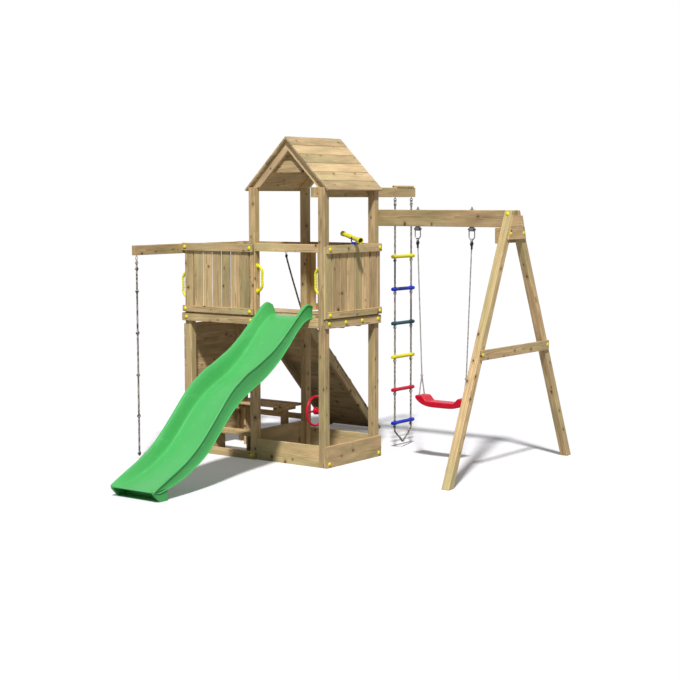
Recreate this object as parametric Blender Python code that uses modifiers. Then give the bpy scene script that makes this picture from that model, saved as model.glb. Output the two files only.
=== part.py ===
"""Wooden climbing playset: two-bay tower with roof, slide, climbing ramp and wall,
knotted climbing rope, rope ladder and a single swing on an A-frame.
Metres, +Z up. The origin is the middle of the front right post's foot.
+X runs along the front from left to right and +Y to the back."""

import math

import bmesh
import bpy
from mathutils import Matrix, Vector

# Fits and edges
GAP = 0.0003             # clearance between pieces that touch
BITE = 0.0006            # overlap of timbers that are screwed into one panel
EASE = 0.003             # eased edge of sawn timber
SMALL_EASE = 0.0015
BORE_PAST = 0.010        # drill past both faces of a beam

# Posts
POST = 0.070
BAY_RIGHT = 0.775        # post centres, right bay
BAY_LEFT = 0.771         # post centres, left bay
BAY_DEEP = 0.7356        # post centres, front to back

# Deck
DECK_TOP = 1.290
DECK_BOARD_THICK = 0.018
FRAME_THICK = 0.022
FRAME_TALL = 0.072
FRAME_BELOW_DECK = 0.004
CORNER_LAP = 0.008       # back boards' and side boards' ends past the tower's corner
JOIST_THICK = 0.035
JOIST_TALL = 0.070
DECK_BOARDS_PER_BAY = 6
DECK_BOARD_GAP = 0.006

# Railings
BOARD = 0.098
BOARD_THICK = 0.015
BOARD_GAP = 0.013
BACK_BOARD_GAP = 0.026
RAIL_THICK = 0.022
TOP_RAIL_TALL = 0.070
LOW_RAIL_TALL = 0.057
POST_TALL_RISE = 1.138   # this and the next seven are heights above the deck's face
BOARDS_RISE = 0.625
BOARDS_LIFT = 0.006
TOP_RAIL_RISE = 0.569
LOW_RAIL_LIFT = 0.010
ENTRY_BAR_RISE = 0.635
SLIDE_BEAM_RISE = 0.647
POST_SHORT_RISE = 0.635
FRONT_BOARDS_INSET = 0.017   # first front board from the tower's left side
RIGHT_BOARDS_LEAD = 0.015    # first side board ahead of the post faces
BACK_BOARDS_INSET = 0.025
ENTRY_BAR_TALL = 0.070
SLIDE_BEAM_TALL = 0.070
SLIDE_BEAM_THICK = 0.045

# Roof
RIDGE_RISE = 0.441       # ridge above the tall posts' tops
EAVE_DROP = 0.020
EAVE_OVERHANG = 0.080    # eave past the right post centre
ROOF_BOARDS = 6
ROOF_BOARD_THICK = 0.018
ROOF_BOARD_GAP = 0.003
RAFTER_DEEP = 0.070
RAFTER_THICK = 0.035
COLLAR_THICK = 0.020
COLLAR_RISE = 0.128
COLLAR_TALL = 0.099

# Rope beam at the left, ladder beam at the right
ROPE_BEAM_THICK = 0.040
ROPE_BEAM_DROP = 0.093   # its underside below the short posts' tops
ROPE_BEAM_TALL = 0.088
ROPE_BEAM_REACH = 0.680  # ahead of the front post centres
LADDER_BEAM_THICK = 0.045
LADDER_BEAM_TALL = 0.088
LADDER_BEAM_LEAD = 0.077
LADDER_BEAM_END = 1.466
LADDER_CAP_THICK = 0.018
LADDER_CAP_SIDE = 0.005
LADDER_CAP_PAST = 0.006  # cap past the eye bolts

# Climbing wall, ramp
CLIMB_BOARD = 0.109      # boards laid nearly tight
CLIMB_GAP = 0.002
WALL_THICK = 0.018
WALL_BOTTOM = 0.075
BATTEN = 0.030
RAMP_ANGLE = math.radians(45.7)
RAMP_START = 0.032       # where the ramp's face meets deck level, behind the frame
RAMP_BOARD_THICK = 0.018
RAMP_BOARD_LONG = 0.640
RAMP_CENTRE_X = -1.170
STRINGER_THICK = 0.035
STRINGER_DEEP = 0.070
STRINGER_INSET = 0.004
HOLD_RADIUS = 0.042
HOLD_TALL = 0.034

# Base boards, sandbox, picnic set
SANDBOX_TALL = 0.190
BASE_RAIL_TALL = 0.070
MIDDLE_BOARD_TALL = 0.260
TABLE_TOP = 0.420
TABLE_FRONT = 0.420
TABLE_BOARDS = 3
TABLE_SIDE = 0.055       # table's left end to the post
TABLE_BOARD_THICK = 0.020
TABLE_CLEAT_TALL = 0.045
TABLE_LEG = 0.098
BENCH_TOP = 0.205
BENCH_BOARDS = 2
STRETCHER_TOP = 0.309
STRETCHER_TALL = 0.052

# Swing beam and A-frame
BEAM_THICK = 0.070
BEAM_TALL = 0.145
BEAM_DROP = 0.199        # its top below the tall posts' tops
BEAM_END = 1.425
FOOT_SPREAD = 0.997      # foot centres from the beam centre
LEG_TOP_CUT = 0.0324     # what is left of a leg's top beside the beam
CROSS_BAR_THICK = 0.022
CROSS_BAR_TALL = 0.085
CROSS_BAR_Z = 1.046
CROSS_BAR_PAST = 0.027   # past the legs' centre lines
PLATE_THICK = 0.020
PLATE_DROP = 0.044
PLATE_TALL = 0.200
PLATE_HALF_BOTTOM = 0.150
PLATE_HALF_TOP = 0.085
INNER_PLATE_HALF = 0.192
INNER_PLATE_TALL = 0.131

# Swing
SWING_CENTRE_X = 0.711
HOOK_HALF = 0.279
HOOK_BOLT_RADIUS = 0.006
HOOK_BOLT_PROUD = 0.028
WASHER_RADIUS = 0.020
WASHER_THICK = 0.004
NUT_TALL = 0.010
HANGER_WIDE = 0.064
HANGER_DEEP = 0.028
HANGER_TALL = 0.034
SHACKLE_RADIUS = 0.005
SHACKLE_DROP = 0.088
EYE_RADIUS = 0.014
EYE_WIRE = 0.0045
ROPE_KNOT_RADIUS = 0.017
SWING_ROPE_RADIUS = 0.006
SEAT_ROPE_HALF = 0.2315
SPLIT_Z = 0.765
SEAT_WIDE = 0.520
SEAT_DEEP = 0.140
SEAT_LOW = 0.494
SEAT_THICK = 0.051
SEAT_END_THICK = 0.027
SEAT_PAD_RISE = 0.047    # end pads above the sitting face
SEAT_PAD = (0.50, 0.74)  # where the sitting face starts and ends its rise, as shares of the half width
SEAT_EDGE = 0.010
SEAT_EYE_HALF = 0.040    # rope branches from the seat's middle line

# Rope ladder
LADDER_X = -0.058
LADDER_ROPES_Y = (1.162, 1.428)
LADDER_ROPE_RADIUS = 0.009
LADDER_KNOT_RADIUS = 0.017
LADDER_KNOT_TALL = 0.034
RUNG_HEIGHTS = (1.794, 1.493, 1.175, 0.863, 0.555, 0.244)
RUNG_RADIUS = 0.0145
RUNG_COLLAR_RADIUS = 0.020
RUNG_COLLAR_LONG = 0.040
RUNG_PAST_ROPE = 0.043
RUNG_BORE_CLEAR = 0.0006
LADDER_TIP_Z = 0.055
TIE_LEAD = 0.012         # straight part at each end of the tie
LADDER_HOOK_DROP = 0.024
RING_RADIUS = 0.013
RING_WIRE = 0.004

# Climbing rope and ramp rope
ROPE_HOOK_DROP = 0.026
CLIMB_ROPE_Y = -0.640
CLIMB_ROPE_RADIUS = 0.009
CLIMB_ROPE_END = 0.030
RAMP_ROPE_X = -1.040
RAMP_ROPE_RADIUS = 0.009
ROPE_REST = 0.0015       # pull rope above the ramp boards
ROPE_HANGS = ((0.012, -0.050), (0.110, -0.280), (0.270, -0.620))    # from its ring, back and up
ROPE_LIES = ((0.560, 0.016), (0.640, 0.003), (0.760, 0.0), (0.900, 0.0), (1.040, 0.0))   # along, off it

# Slide
SLIDE_CENTRE_X = -0.355
SLIDE_WIDTH = 0.480
SLIDE_WALL = 0.022
SLIDE_DRAWN_DECK = 1.290 # deck height that the two side lines below belong to
SLIDE_SEAT = (-0.002, -0.040)    # the bed's level end over the deck's edge
SLIDE_RIM = ((-0.002, 1.405), (-0.060, 1.425), (-0.120, 1.400), (-0.210, 1.330), (-0.320, 1.238),
             (-0.430, 1.150), (-0.560, 1.060), (-0.670, 1.003), (-0.780, 0.950), (-0.880, 0.908),
             (-0.970, 0.855), (-1.050, 0.803), (-1.130, 0.735), (-1.250, 0.612), (-1.410, 0.452),
             (-1.500, 0.372), (-1.600, 0.300), (-1.710, 0.238), (-1.820, 0.188), (-1.910, 0.150),
             (-1.990, 0.118))
SLIDE_BED = ((-0.100, 1.300), (-0.210, 1.222), (-0.320, 1.115), (-0.430, 1.015),
             (-0.560, 0.918), (-0.670, 0.852), (-0.780, 0.800), (-0.880, 0.752), (-0.970, 0.698),
             (-1.050, 0.640), (-1.130, 0.568), (-1.250, 0.446), (-1.410, 0.303), (-1.500, 0.248),
             (-1.600, 0.196), (-1.710, 0.150), (-1.820, 0.117), (-1.910, 0.096), (-1.990, 0.084))
SLIDE_SHELL = 0.024      # bed thickness, measured straight down
SLIDE_LIP = 0.022        # depth of the front lip
SLIDE_FOOT = (-1.845, -1.927)    # back and front of the foot on the ground

# Handgrips
GRIP_REACH = 0.066
GRIP_TALL = 0.225
GRIP_RADIUS = 0.0125
GRIP_PAD_RADIUS = 0.021
GRIP_PAD_THICK = 0.008
GRIP_RISE = {"middle": 0.222, "right": 0.218, "left": 0.140}   # lower pads above the deck's face

# Steering wheel
WHEEL_RADIUS = 0.127
WHEEL_RIM = 0.0115
WHEEL_Z = 0.490
WHEEL_HUB_RADIUS = 0.032
WHEEL_HUB_LONG = 0.030
WHEEL_BOSS_RADIUS = 0.024
WHEEL_BOSS_LONG = 0.040
WHEEL_SPOKE = 0.018

# Telescope
SCOPE_Y = 0.360
SCOPE_ABOVE_RAIL = 0.056
SCOPE_TURN = math.radians(-27.0)
SCOPE_DIP = math.radians(9.0)
SCOPE_BACK = 0.230
SCOPE_FRONT = 0.130
SCOPE_RADIUS = 0.021
SCOPE_BELL = 0.0275
SCOPE_BELL_LONG = 0.045
SCOPE_BORE = 0.021
SCOPE_BORE_DEEP = 0.012
YOKE_ARM = 0.010
YOKE_BASE_RADIUS = 0.020
YOKE_BASE_TALL = 0.014
PIN_RADIUS = 0.004

# Places worked out from the sizes above
HALF = POST / 2
POST_X = {"right": 0.0, "middle": -BAY_RIGHT, "left": -BAY_RIGHT - BAY_LEFT}
FRONT = -HALF
BACK = BAY_DEEP + HALF
RIGHT = HALF
LEFT = POST_X["left"] - HALF
FRAME_TOP = DECK_TOP - FRAME_BELOW_DECK
FRAME_BOTTOM = FRAME_TOP - FRAME_TALL
JOIST_Y = (BAY_DEEP / 3 - 0.003, BAY_DEEP * 2 / 3 - 0.006)
POST_TALL = DECK_TOP + POST_TALL_RISE
BOARDS_TOP = DECK_TOP + BOARDS_RISE
BOARDS_BOTTOM = DECK_TOP + BOARDS_LIFT
TOP_RAIL_BOTTOM = DECK_TOP + TOP_RAIL_RISE
LOW_RAIL_BOTTOM = DECK_TOP + LOW_RAIL_LIFT
ENTRY_BAR_TOP = DECK_TOP + ENTRY_BAR_RISE
SLIDE_BEAM_TOP = DECK_TOP + SLIDE_BEAM_RISE
POST_SHORT = DECK_TOP + POST_SHORT_RISE
ROPE_BEAM_BOTTOM = POST_SHORT - ROPE_BEAM_DROP
RIDGE_Z = POST_TALL + RIDGE_RISE
EAVE_Z = POST_TALL - EAVE_DROP
COLLAR_BOTTOM = POST_TALL + COLLAR_RISE
COLLAR_TOP = COLLAR_BOTTOM + COLLAR_TALL
WALL_BOARDS = int((FRAME_BOTTOM - WALL_BOTTOM) / (CLIMB_BOARD + CLIMB_GAP))
BEAM_TOP = POST_TALL - BEAM_DROP
PLATE_TOP = BEAM_TOP - PLATE_DROP
PLATE_BOTTOM = PLATE_TOP - PLATE_TALL
SEAT_HALF = SEAT_WIDE / 2
BEAM_FRONT = BACK + GAP
BEAM_Y = BEAM_FRONT + BEAM_THICK / 2
BEAM_BOTTOM = BEAM_TOP - BEAM_TALL
LEG_LEFT = BEAM_END - POST
RAIL_OUT = GAP + BOARD_THICK - BITE  # rail's inner face from the post faces
SWING_PIVOT_Z = BEAM_BOTTOM - GAP - WASHER_THICK - GAP - HANGER_TALL / 2
LADDER_BEAM_RIGHT = -HALF - GAP
LADDER_BEAM_BOTTOM = POST_TALL - LADDER_BEAM_TALL
LADDER_PIVOT_Z = LADDER_BEAM_BOTTOM - LADDER_HOOK_DROP
SCOPE_X = RIGHT + RAIL_OUT + RAIL_THICK / 2
SCOPE_Z = TOP_RAIL_BOTTOM + TOP_RAIL_TALL + SCOPE_ABOVE_RAIL
ROPE_BEAM_X = LEFT - GAP - ROPE_BEAM_THICK / 2
WHEEL_X = -HALF - GAP - WHEEL_BOSS_LONG - GAP - WHEEL_HUB_LONG / 2


# Scene set-up

for old in list(bpy.data.objects):
    bpy.data.objects.remove(old, do_unlink=True)

parts = bpy.data.collections.new("climbing_playset")
cutters = bpy.data.collections.new("cutters")
bpy.context.scene.collection.children.link(parts)
bpy.context.scene.collection.children.link(cutters)


def material(name, colour, roughness, metallic=0.0):
    """A Principled material with the piece's plain colour."""
    made = bpy.data.materials.new(name)
    made.use_nodes = True
    shader = made.node_tree.nodes["Principled BSDF"]
    shader.inputs["Base Color"].default_value = (*colour, 1.0)
    shader.inputs["Roughness"].default_value = roughness
    shader.inputs["Metallic"].default_value = metallic
    made.diffuse_color = (*colour, 1.0)
    return made


TIMBER = material("timber", (0.50, 0.36, 0.19), 0.75)
ROOF_TIMBER = material("roof_timber", (0.66, 0.48, 0.26), 0.75)
GREEN = material("green_plastic", (0.06, 0.42, 0.10), 0.35)
YELLOW = material("yellow_plastic", (0.85, 0.80, 0.12), 0.35)
RED = material("red_plastic", (0.62, 0.02, 0.03), 0.35)
BLUE = material("blue_plastic", (0.03, 0.07, 0.45), 0.35)
TEAL = material("teal_plastic", (0.02, 0.13, 0.18), 0.35)
STEEL = material("zinc_steel", (0.55, 0.56, 0.57), 0.35, 1.0)
DARK_ROPE = material("grey_rope", (0.10, 0.09, 0.08), 0.9)
PALE_ROPE = material("pale_rope", (0.55, 0.53, 0.48), 0.9)


# Modelling helpers

def span(x, y, z):
    """A block between two values on each axis: its centre, size and turn."""
    centre = Vector(((x[0] + x[1]) / 2, (y[0] + y[1]) / 2, (z[0] + z[1]) / 2))
    size = Vector((abs(x[1] - x[0]), abs(y[1] - y[0]), abs(z[1] - z[0])))
    return centre, size, Matrix.Identity(4)


def add_mesh(name, mesh, look, origin=(0, 0, 0), parent=None):
    """Link a mesh given in world places as an object whose origin is at the given point."""
    mesh.transform(Matrix.Translation(-Vector(origin)))
    mesh.materials.clear()
    mesh.materials.append(look)
    made = bpy.data.objects.new(name, mesh)
    made.location = origin
    parts.objects.link(made)
    if parent is not None:
        made.parent = parent
        made.matrix_parent_inverse = Matrix.Translation(-Vector(parent.location))
    return made


def pivot(name, place, parent=None):
    """An empty on a joint's axis, which carries the pieces that move."""
    empty = bpy.data.objects.new(name, None)
    empty.empty_display_size = 0.1
    empty.location = place
    parts.objects.link(empty)
    if parent is not None:
        empty.parent = parent
        empty.matrix_parent_inverse = Matrix.Translation(-Vector(parent.location))
    return empty


def add_bevel(piece, width, segments=1):
    bevel = piece.modifiers.new("eased edges", "BEVEL")
    bevel.width = width
    bevel.segments = segments
    bevel.limit_method = "ANGLE"
    bevel.angle_limit = math.radians(40)
    return bevel


def cube_mesh(items):
    """Sawn blocks with sharp edges, as one mesh."""
    bm = bmesh.new()
    for centre, size, turn in items:
        place = Matrix.Translation(centre) @ turn @ Matrix.Diagonal((*size, 1.0))
        bmesh.ops.create_cube(bm, size=1.0, matrix=place)
    mesh = bpy.data.meshes.new("blocks")
    bm.to_mesh(mesh)
    bm.free()
    return mesh


def block(name, x, y, z, look=TIMBER, ease=EASE):
    """One sawn block with eased edges, between two values on each axis."""
    piece = add_mesh(name, cube_mesh([span(x, y, z)]), look)
    add_bevel(piece, ease)
    return piece


def eased_mesh(items, ease=SMALL_EASE):
    """Blocks with eased edges, as one mesh that a panel is joined from."""
    obj = bpy.data.objects.new("eased", cube_mesh(items))
    parts.objects.link(obj)
    add_bevel(obj, ease)
    return baked(obj)


def baked(obj):
    """The object's evaluated mesh in world places, with doubles merged. The object goes."""
    bpy.context.view_layer.update()
    graph = bpy.context.evaluated_depsgraph_get()
    mesh = bpy.data.meshes.new_from_object(obj.evaluated_get(graph))
    mesh.transform(obj.matrix_world)
    bm = bmesh.new()
    bm.from_mesh(mesh)
    bmesh.ops.remove_doubles(bm, verts=bm.verts, dist=0.00002)
    bmesh.ops.recalc_face_normals(bm, faces=bm.faces)
    bm.to_mesh(mesh)
    bm.free()
    bpy.data.objects.remove(obj)
    return mesh


def curve_object(points, closed, dimensions):
    curve = bpy.data.curves.new("outline", "CURVE")
    curve.dimensions = dimensions
    line = curve.splines.new("POLY")
    line.points.add(len(points) - 1)
    for point, place in zip(line.points, points):
        point.co = (*place, 0.0, 1.0) if dimensions == "2D" else (*place, 1.0)
    line.use_cyclic_u = closed
    obj = bpy.data.objects.new("outline", curve)
    parts.objects.link(obj)
    return obj


def plate_mesh(outline, plane, low, high):
    """A flat outline in the XZ or YZ plane, carried from low to high on the third axis."""
    obj = curve_object(outline, True, "2D")
    obj.data.fill_mode = "BOTH"
    obj.data.extrude = (high - low) / 2
    middle = (low + high) / 2
    if plane == "YZ":
        obj.matrix_world = Matrix(((0, 0, 1, middle), (1, 0, 0, 0), (0, 1, 0, 0), (0, 0, 0, 1)))
    else:
        obj.matrix_world = Matrix(((1, 0, 0, 0), (0, 0, -1, middle), (0, 1, 0, 0), (0, 0, 0, 1)))
    return baked(obj)


def tube_mesh(points, radius, resolution=2, closed=False):
    """A round bar or rope along a line of points, with filled ends."""
    obj = curve_object(points, closed, "3D")
    obj.data.bevel_depth = radius
    obj.data.bevel_resolution = resolution
    obj.data.use_fill_caps = not closed
    return baked(obj)


def turned_mesh(profile, place, steps=12):
    """A turned solid: radius and height pairs, top to bottom, about the placed Z axis."""
    mesh = bpy.data.meshes.new("profile")
    points = [(radius, 0.0, height) for radius, height in profile]
    mesh.from_pydata(points, [(i, i + 1) for i in range(len(points) - 1)], [])
    obj = bpy.data.objects.new("profile", mesh)
    parts.objects.link(obj)
    screw = obj.modifiers.new("turn", "SCREW")
    screw.steps = steps
    screw.render_steps = steps
    screw.use_merge_vertices = True
    screw.merge_threshold = 0.00001
    obj.matrix_world = place
    return baked(obj)


def ring_mesh(radius, wire, place, around=16, sides=8):
    """A closed round ring about the placed Z axis."""
    turn = [2 * math.pi * i / around for i in range(around)]
    points = [place @ Vector((radius * math.cos(a), radius * math.sin(a), 0.0)) for a in turn]
    return tube_mesh(points, wire, (sides - 4) // 2, True)


def joined(meshes):
    """Several solids in one mesh."""
    bm = bmesh.new()
    for mesh in meshes:
        bm.from_mesh(mesh)
        bpy.data.meshes.remove(mesh)
    mesh = bpy.data.meshes.new("joined")
    bm.to_mesh(mesh)
    bm.free()
    return mesh


def fused(name, meshes, look, origin=(0, 0, 0), parent=None):
    """One body of several solids that reach into each other."""
    piece = add_mesh(name, meshes[0], look, origin, parent)
    for i, mesh in enumerate(meshes[1:]):
        combine(piece, mesh, f"{name}_join_{i + 1}", "UNION")
    return piece


def cutter(mesh, name):
    tool = bpy.data.objects.new(name, mesh)
    cutters.objects.link(tool)
    tool.hide_render = True
    tool.display_type = "WIRE"
    return tool


def combine(piece, mesh, name, operation):
    """A Boolean on the piece with another mesh, which stays as a hidden cutter."""
    boolean = piece.modifiers.new(name, "BOOLEAN")
    boolean.operation = operation
    boolean.object = cutter(mesh, name)
    return boolean


def along(axis, place):
    """A placement whose Z axis points along the given direction."""
    turn = Vector((0, 0, 1)).rotation_difference(Vector(axis)).to_matrix().to_4x4()
    return Matrix.Translation(place) @ turn


def rod_mesh(start, end, radius, steps=12):
    """A plain round bar between two points."""
    start = Vector(start)
    reach = Vector(end) - start
    profile = ((0.0, reach.length), (radius, reach.length), (radius, 0.0), (0.0, 0.0))
    return turned_mesh(profile, along(reach, start), steps)


def smooth_route(points, spacing):
    """Evenly spaced points on a smooth Catmull-Rom curve through the route's own points."""
    route = [Vector(point) for point in points]
    route = [2 * route[0] - route[1]] + route + [2 * route[-1] - route[-2]]
    fine = []
    for a, b, c, d in zip(route, route[1:], route[2:], route[3:]):
        for i in range(40):
            t = i / 40
            fine.append(0.5 * (2 * b + (c - a) * t + (2 * a - 5 * b + 4 * c - d) * t ** 2
                               + (3 * b - a - 3 * c + d) * t ** 3))
    fine.append(route[-2])
    total = sum((q - p).length for p, q in zip(fine, fine[1:]))
    count = max(2, round(total / spacing))
    result = [fine[0]]
    walked = 0.0
    for p, q in zip(fine, fine[1:]):
        step = (q - p).length
        while len(result) < count and walked + step >= total * len(result) / count:
            share = (total * len(result) / count - walked) / step
            result.append(p.lerp(q, share))
        walked += step
    result.append(fine[-1])
    return result


# Posts

def build_posts():
    for side, x in POST_X.items():
        top = POST_SHORT if side == "left" else POST_TALL
        for face, y in (("front", 0.0), ("back", BAY_DEEP)):
            block(f"post_{face}_{side}", (x - HALF, x + HALF), (y - HALF, y + HALF), (0, top))


# Deck

def build_deck():
    z = (FRAME_BOTTOM, FRAME_TOP)
    out = GAP + FRAME_THICK
    middle_face = POST_X["middle"] + HALF
    inset = (z[0] + BITE, z[1] - BITE)
    frame = [cube_mesh([span((LEFT - out, middle_face), (FRONT - out, FRONT - GAP), z)]),
             cube_mesh([span((LEFT - out, LEFT - GAP), (FRONT - out, BACK + out), z)]),
             cube_mesh([span((LEFT - out, RIGHT + CORNER_LAP), (BACK + GAP, BACK + out), z)]),
             cube_mesh([span((RIGHT + GAP, RIGHT + out), (FRONT, BACK + CORNER_LAP), inset)])]
    fused("deck_frame", frame, TIMBER)
    front_board = eased_mesh([span((middle_face + GAP, -HALF - GAP), (FRONT, FRONT + FRAME_THICK), z)], EASE)

    board_z = (DECK_TOP - DECK_BOARD_THICK, DECK_TOP)
    joist_z = (board_z[0] + BITE - JOIST_TALL, board_z[0] + BITE)
    joists = cube_mesh([span((LEFT + EASE, RIGHT - EASE), (y - JOIST_THICK / 2, y + JOIST_THICK / 2), joist_z)
                        for y in JOIST_Y])
    boards = []
    for x in POST_X.values():
        boards.append(span((x - HALF, x + HALF), (HALF + GAP, BAY_DEEP - HALF - GAP), board_z))
    for left, right, front in ((POST_X["left"] + HALF, POST_X["middle"] - HALF, FRONT),
                               (middle_face, -HALF, FRONT + FRAME_THICK - BITE)):
        pitch = (right - left - DECK_BOARD_GAP) / DECK_BOARDS_PER_BAY
        for i in range(DECK_BOARDS_PER_BAY):
            start = left + DECK_BOARD_GAP + i * pitch
            boards.append(span((start, start + pitch - DECK_BOARD_GAP), (front, BACK), board_z))
    fused("deck_floor", [joists, cube_mesh(boards), front_board], TIMBER)


# Railings

def upright_boards(start, stop, gap):
    """Places of upright boards side by side, the last one cut to fit."""
    places = []
    at = start
    while at < stop - EASE * 4:
        places.append((at, min(at + BOARD, stop)))
        at += BOARD + gap
    return places


def build_railings():
    z = (BOARDS_BOTTOM, BOARDS_TOP)
    rails = ((LOW_RAIL_BOTTOM, LOW_RAIL_BOTTOM + LOW_RAIL_TALL),
             (TOP_RAIL_BOTTOM, TOP_RAIL_BOTTOM + TOP_RAIL_TALL))
    skin = (GAP, GAP + BOARD_THICK)
    rail = (RAIL_OUT, RAIL_OUT + RAIL_THICK)

    def panel(name, boards, bars):
        fused(name, [eased_mesh(bars, EASE), cube_mesh(boards)], TIMBER)

    front_end = POST_X["middle"] + HALF
    boards = upright_boards(LEFT + FRONT_BOARDS_INSET, front_end - BOARD_GAP, BOARD_GAP)
    panel("railing_front", [span(x, (FRONT - skin[1], FRONT - skin[0]), z) for x in boards],
          [span((LEFT, front_end), (FRONT - rail[1], FRONT - rail[0]), height) for height in rails])
    boards = upright_boards(FRONT - RIGHT_BOARDS_LEAD, BACK, BOARD_GAP)
    panel("railing_right", [span((RIGHT + skin[0], RIGHT + skin[1]), y, z) for y in boards],
          [span((RIGHT + rail[0], RIGHT + rail[1]), (FRONT, BACK), height) for height in rails])
    back_start = POST_X["middle"] - HALF
    boards = upright_boards(back_start + BACK_BOARDS_INSET, RIGHT, BACK_BOARD_GAP)
    panel("railing_back", [span(x, (BACK + skin[0], BACK + skin[1]), z) for x in boards],
          [span((back_start, RIGHT), (BACK + rail[0], BACK + rail[1]), height) for height in rails])

    bar_z = (ENTRY_BAR_TOP - ENTRY_BAR_TALL, ENTRY_BAR_TOP)
    bar = eased_mesh([span((LEFT, back_start - GAP), (BACK + GAP, BACK + GAP + RAIL_THICK), bar_z)], EASE)
    bar_y = BACK + GAP + RAIL_THICK / 2
    hooks = hook_meshes((RAMP_ROPE_X, bar_y, bar_z[0]), bar_z[0] - ROPE_HOOK_DROP)
    fused("entry_bar_back", [bar] + hooks, TIMBER)
    beam_z = (SLIDE_BEAM_TOP - SLIDE_BEAM_TALL, SLIDE_BEAM_TOP)
    beam_x = (POST_X["middle"] + HALF + GAP, -HALF - GAP)
    block("slide_beam", beam_x, (FRONT, FRONT + SLIDE_BEAM_THICK), beam_z)


# Roof

def build_roof():
    ridge_x = POST_X["middle"] / 2
    half_run = EAVE_OVERHANG - ridge_x
    rise = RIDGE_Z - EAVE_Z
    length = math.hypot(half_run, rise)
    slope = math.atan2(rise, half_run)
    pitch = (length + ROOF_BOARD_GAP) / ROOF_BOARDS
    middle_y = (FRONT + BACK) / 2
    ridge_lap = ROOF_BOARD_THICK / math.sin(2 * slope) + GAP
    foot_z = POST_TALL + GAP

    def under_roof(depth, z):
        """Half width of the roof at a height, the given depth below its outer face."""
        return (RIDGE_Z - z) / math.tan(slope) - depth / math.sin(slope)

    def peak(depth):
        return RIDGE_Z - depth / math.cos(slope)

    for side, name in ((1, "right"), (-1, "left")):
        turn = Matrix.Rotation(side * slope, 4, "Y")
        boards = []
        for i in range(ROOF_BOARDS):
            start = i * pitch + (ridge_lap if i == 0 and side < 0 else 0.0)
            end = (i + 1) * pitch - ROOF_BOARD_GAP
            down = (start + end) / 2
            x = down * math.cos(slope) - ROOF_BOARD_THICK / 2 * math.sin(slope)
            z = -down * math.sin(slope) - ROOF_BOARD_THICK / 2 * math.cos(slope)
            centre = Vector((ridge_x + side * x, middle_y, RIDGE_Z + z))
            boards.append((centre, Vector((end - start, BACK - FRONT, ROOF_BOARD_THICK)), turn))
        skin = ROOF_BOARD_THICK - BITE
        rafters = []
        for y, inward in ((0.0, 1), (BAY_DEEP, -1)):
            near, far = sorted((y, y + inward * RAFTER_THICK))
            outline = [(ridge_x + side * GAP, peak(skin) - 2 * GAP),
                       (ridge_x + side * under_roof(skin, foot_z), foot_z),
                       (ridge_x + side * under_roof(skin + RAFTER_DEEP, foot_z), foot_z),
                       (ridge_x + side * GAP, peak(skin + RAFTER_DEEP) - 2 * GAP)]
            rafters.append(plate_mesh(outline, "XZ", near, far))
        fused(f"roof_{name}", [joined(rafters), cube_mesh(boards)], ROOF_TIMBER)

    low = under_roof(ROOF_BOARD_THICK + GAP, COLLAR_BOTTOM)
    high = under_roof(ROOF_BOARD_THICK + GAP, COLLAR_TOP)
    outline = [(ridge_x - low, COLLAR_BOTTOM), (ridge_x + low, COLLAR_BOTTOM),
               (ridge_x + high, COLLAR_TOP), (ridge_x - high, COLLAR_TOP)]
    for name, y, inward in (("front", 0.0, 1), ("back", BAY_DEEP, -1)):
        start = y + inward * (RAFTER_THICK + GAP)
        near, far = sorted((start, start + inward * COLLAR_THICK))
        add_mesh(f"collar_tie_{name}", plate_mesh(outline, "XZ", near, far), TIMBER)


# Beams that carry the rope and the ladder

def hook_meshes(place, ring_z):
    """An eye hook in a beam's underside: a short shank that bites into the beam, and a ring across X."""
    x, y, z = place
    shank = rod_mesh((x, y, ring_z + RING_RADIUS), (x, y, z + BITE), RING_WIRE, 8)
    return [shank, ring_mesh(RING_RADIUS, RING_WIRE, along((1, 0, 0), (x, y, ring_z)), 12)]


def build_side_beams():
    z = (ROPE_BEAM_BOTTOM, ROPE_BEAM_BOTTOM + ROPE_BEAM_TALL)
    beam = eased_mesh([span((ROPE_BEAM_X - ROPE_BEAM_THICK / 2, ROPE_BEAM_X + ROPE_BEAM_THICK / 2),
                            (-ROPE_BEAM_REACH, BACK), z)], EASE)
    place = (ROPE_BEAM_X, CLIMB_ROPE_Y, ROPE_BEAM_BOTTOM)
    fused("rope_beam", [beam] + hook_meshes(place, ROPE_BEAM_BOTTOM - ROPE_HOOK_DROP), TIMBER)

    left = LADDER_BEAM_RIGHT - LADDER_BEAM_THICK
    beam = block("ladder_beam", (left, LADDER_BEAM_RIGHT), (-LADDER_BEAM_LEAD, LADDER_BEAM_END),
                 (LADDER_BEAM_BOTTOM, POST_TALL))
    cap_end = LADDER_ROPES_Y[1] + LADDER_CAP_PAST
    cap_start = LADDER_ROPES_Y[0] - LADDER_CAP_PAST
    cap_z = POST_TALL + GAP
    cap_x = (left - LADDER_CAP_SIDE, LADDER_BEAM_RIGHT + LADDER_CAP_SIDE)
    hanger = [eased_mesh([span(cap_x, (cap_start, cap_end), (cap_z, cap_z + LADDER_CAP_THICK))])]
    for i, y in enumerate(LADDER_ROPES_Y):
        low, high = LADDER_BEAM_BOTTOM - BORE_PAST, POST_TALL + BORE_PAST
        bore = rod_mesh((LADDER_X, y, low), (LADDER_X, y, high), RING_WIRE + GAP, 8)
        combine(beam, bore, f"ladder_beam_bore_{i}", "DIFFERENCE")
        eye_top = LADDER_PIVOT_Z + RING_RADIUS
        hanger.append(rod_mesh((LADDER_X, y, eye_top), (LADDER_X, y, cap_z + BITE), RING_WIRE, 8))
        hanger.append(ring_mesh(RING_RADIUS, RING_WIRE, along((0, 1, 0), (LADDER_X, y, LADDER_PIVOT_Z)), 12))
    fused("ladder_hanger", hanger, STEEL)


# Climbing wall at the left and climbing ramp at the back

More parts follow.
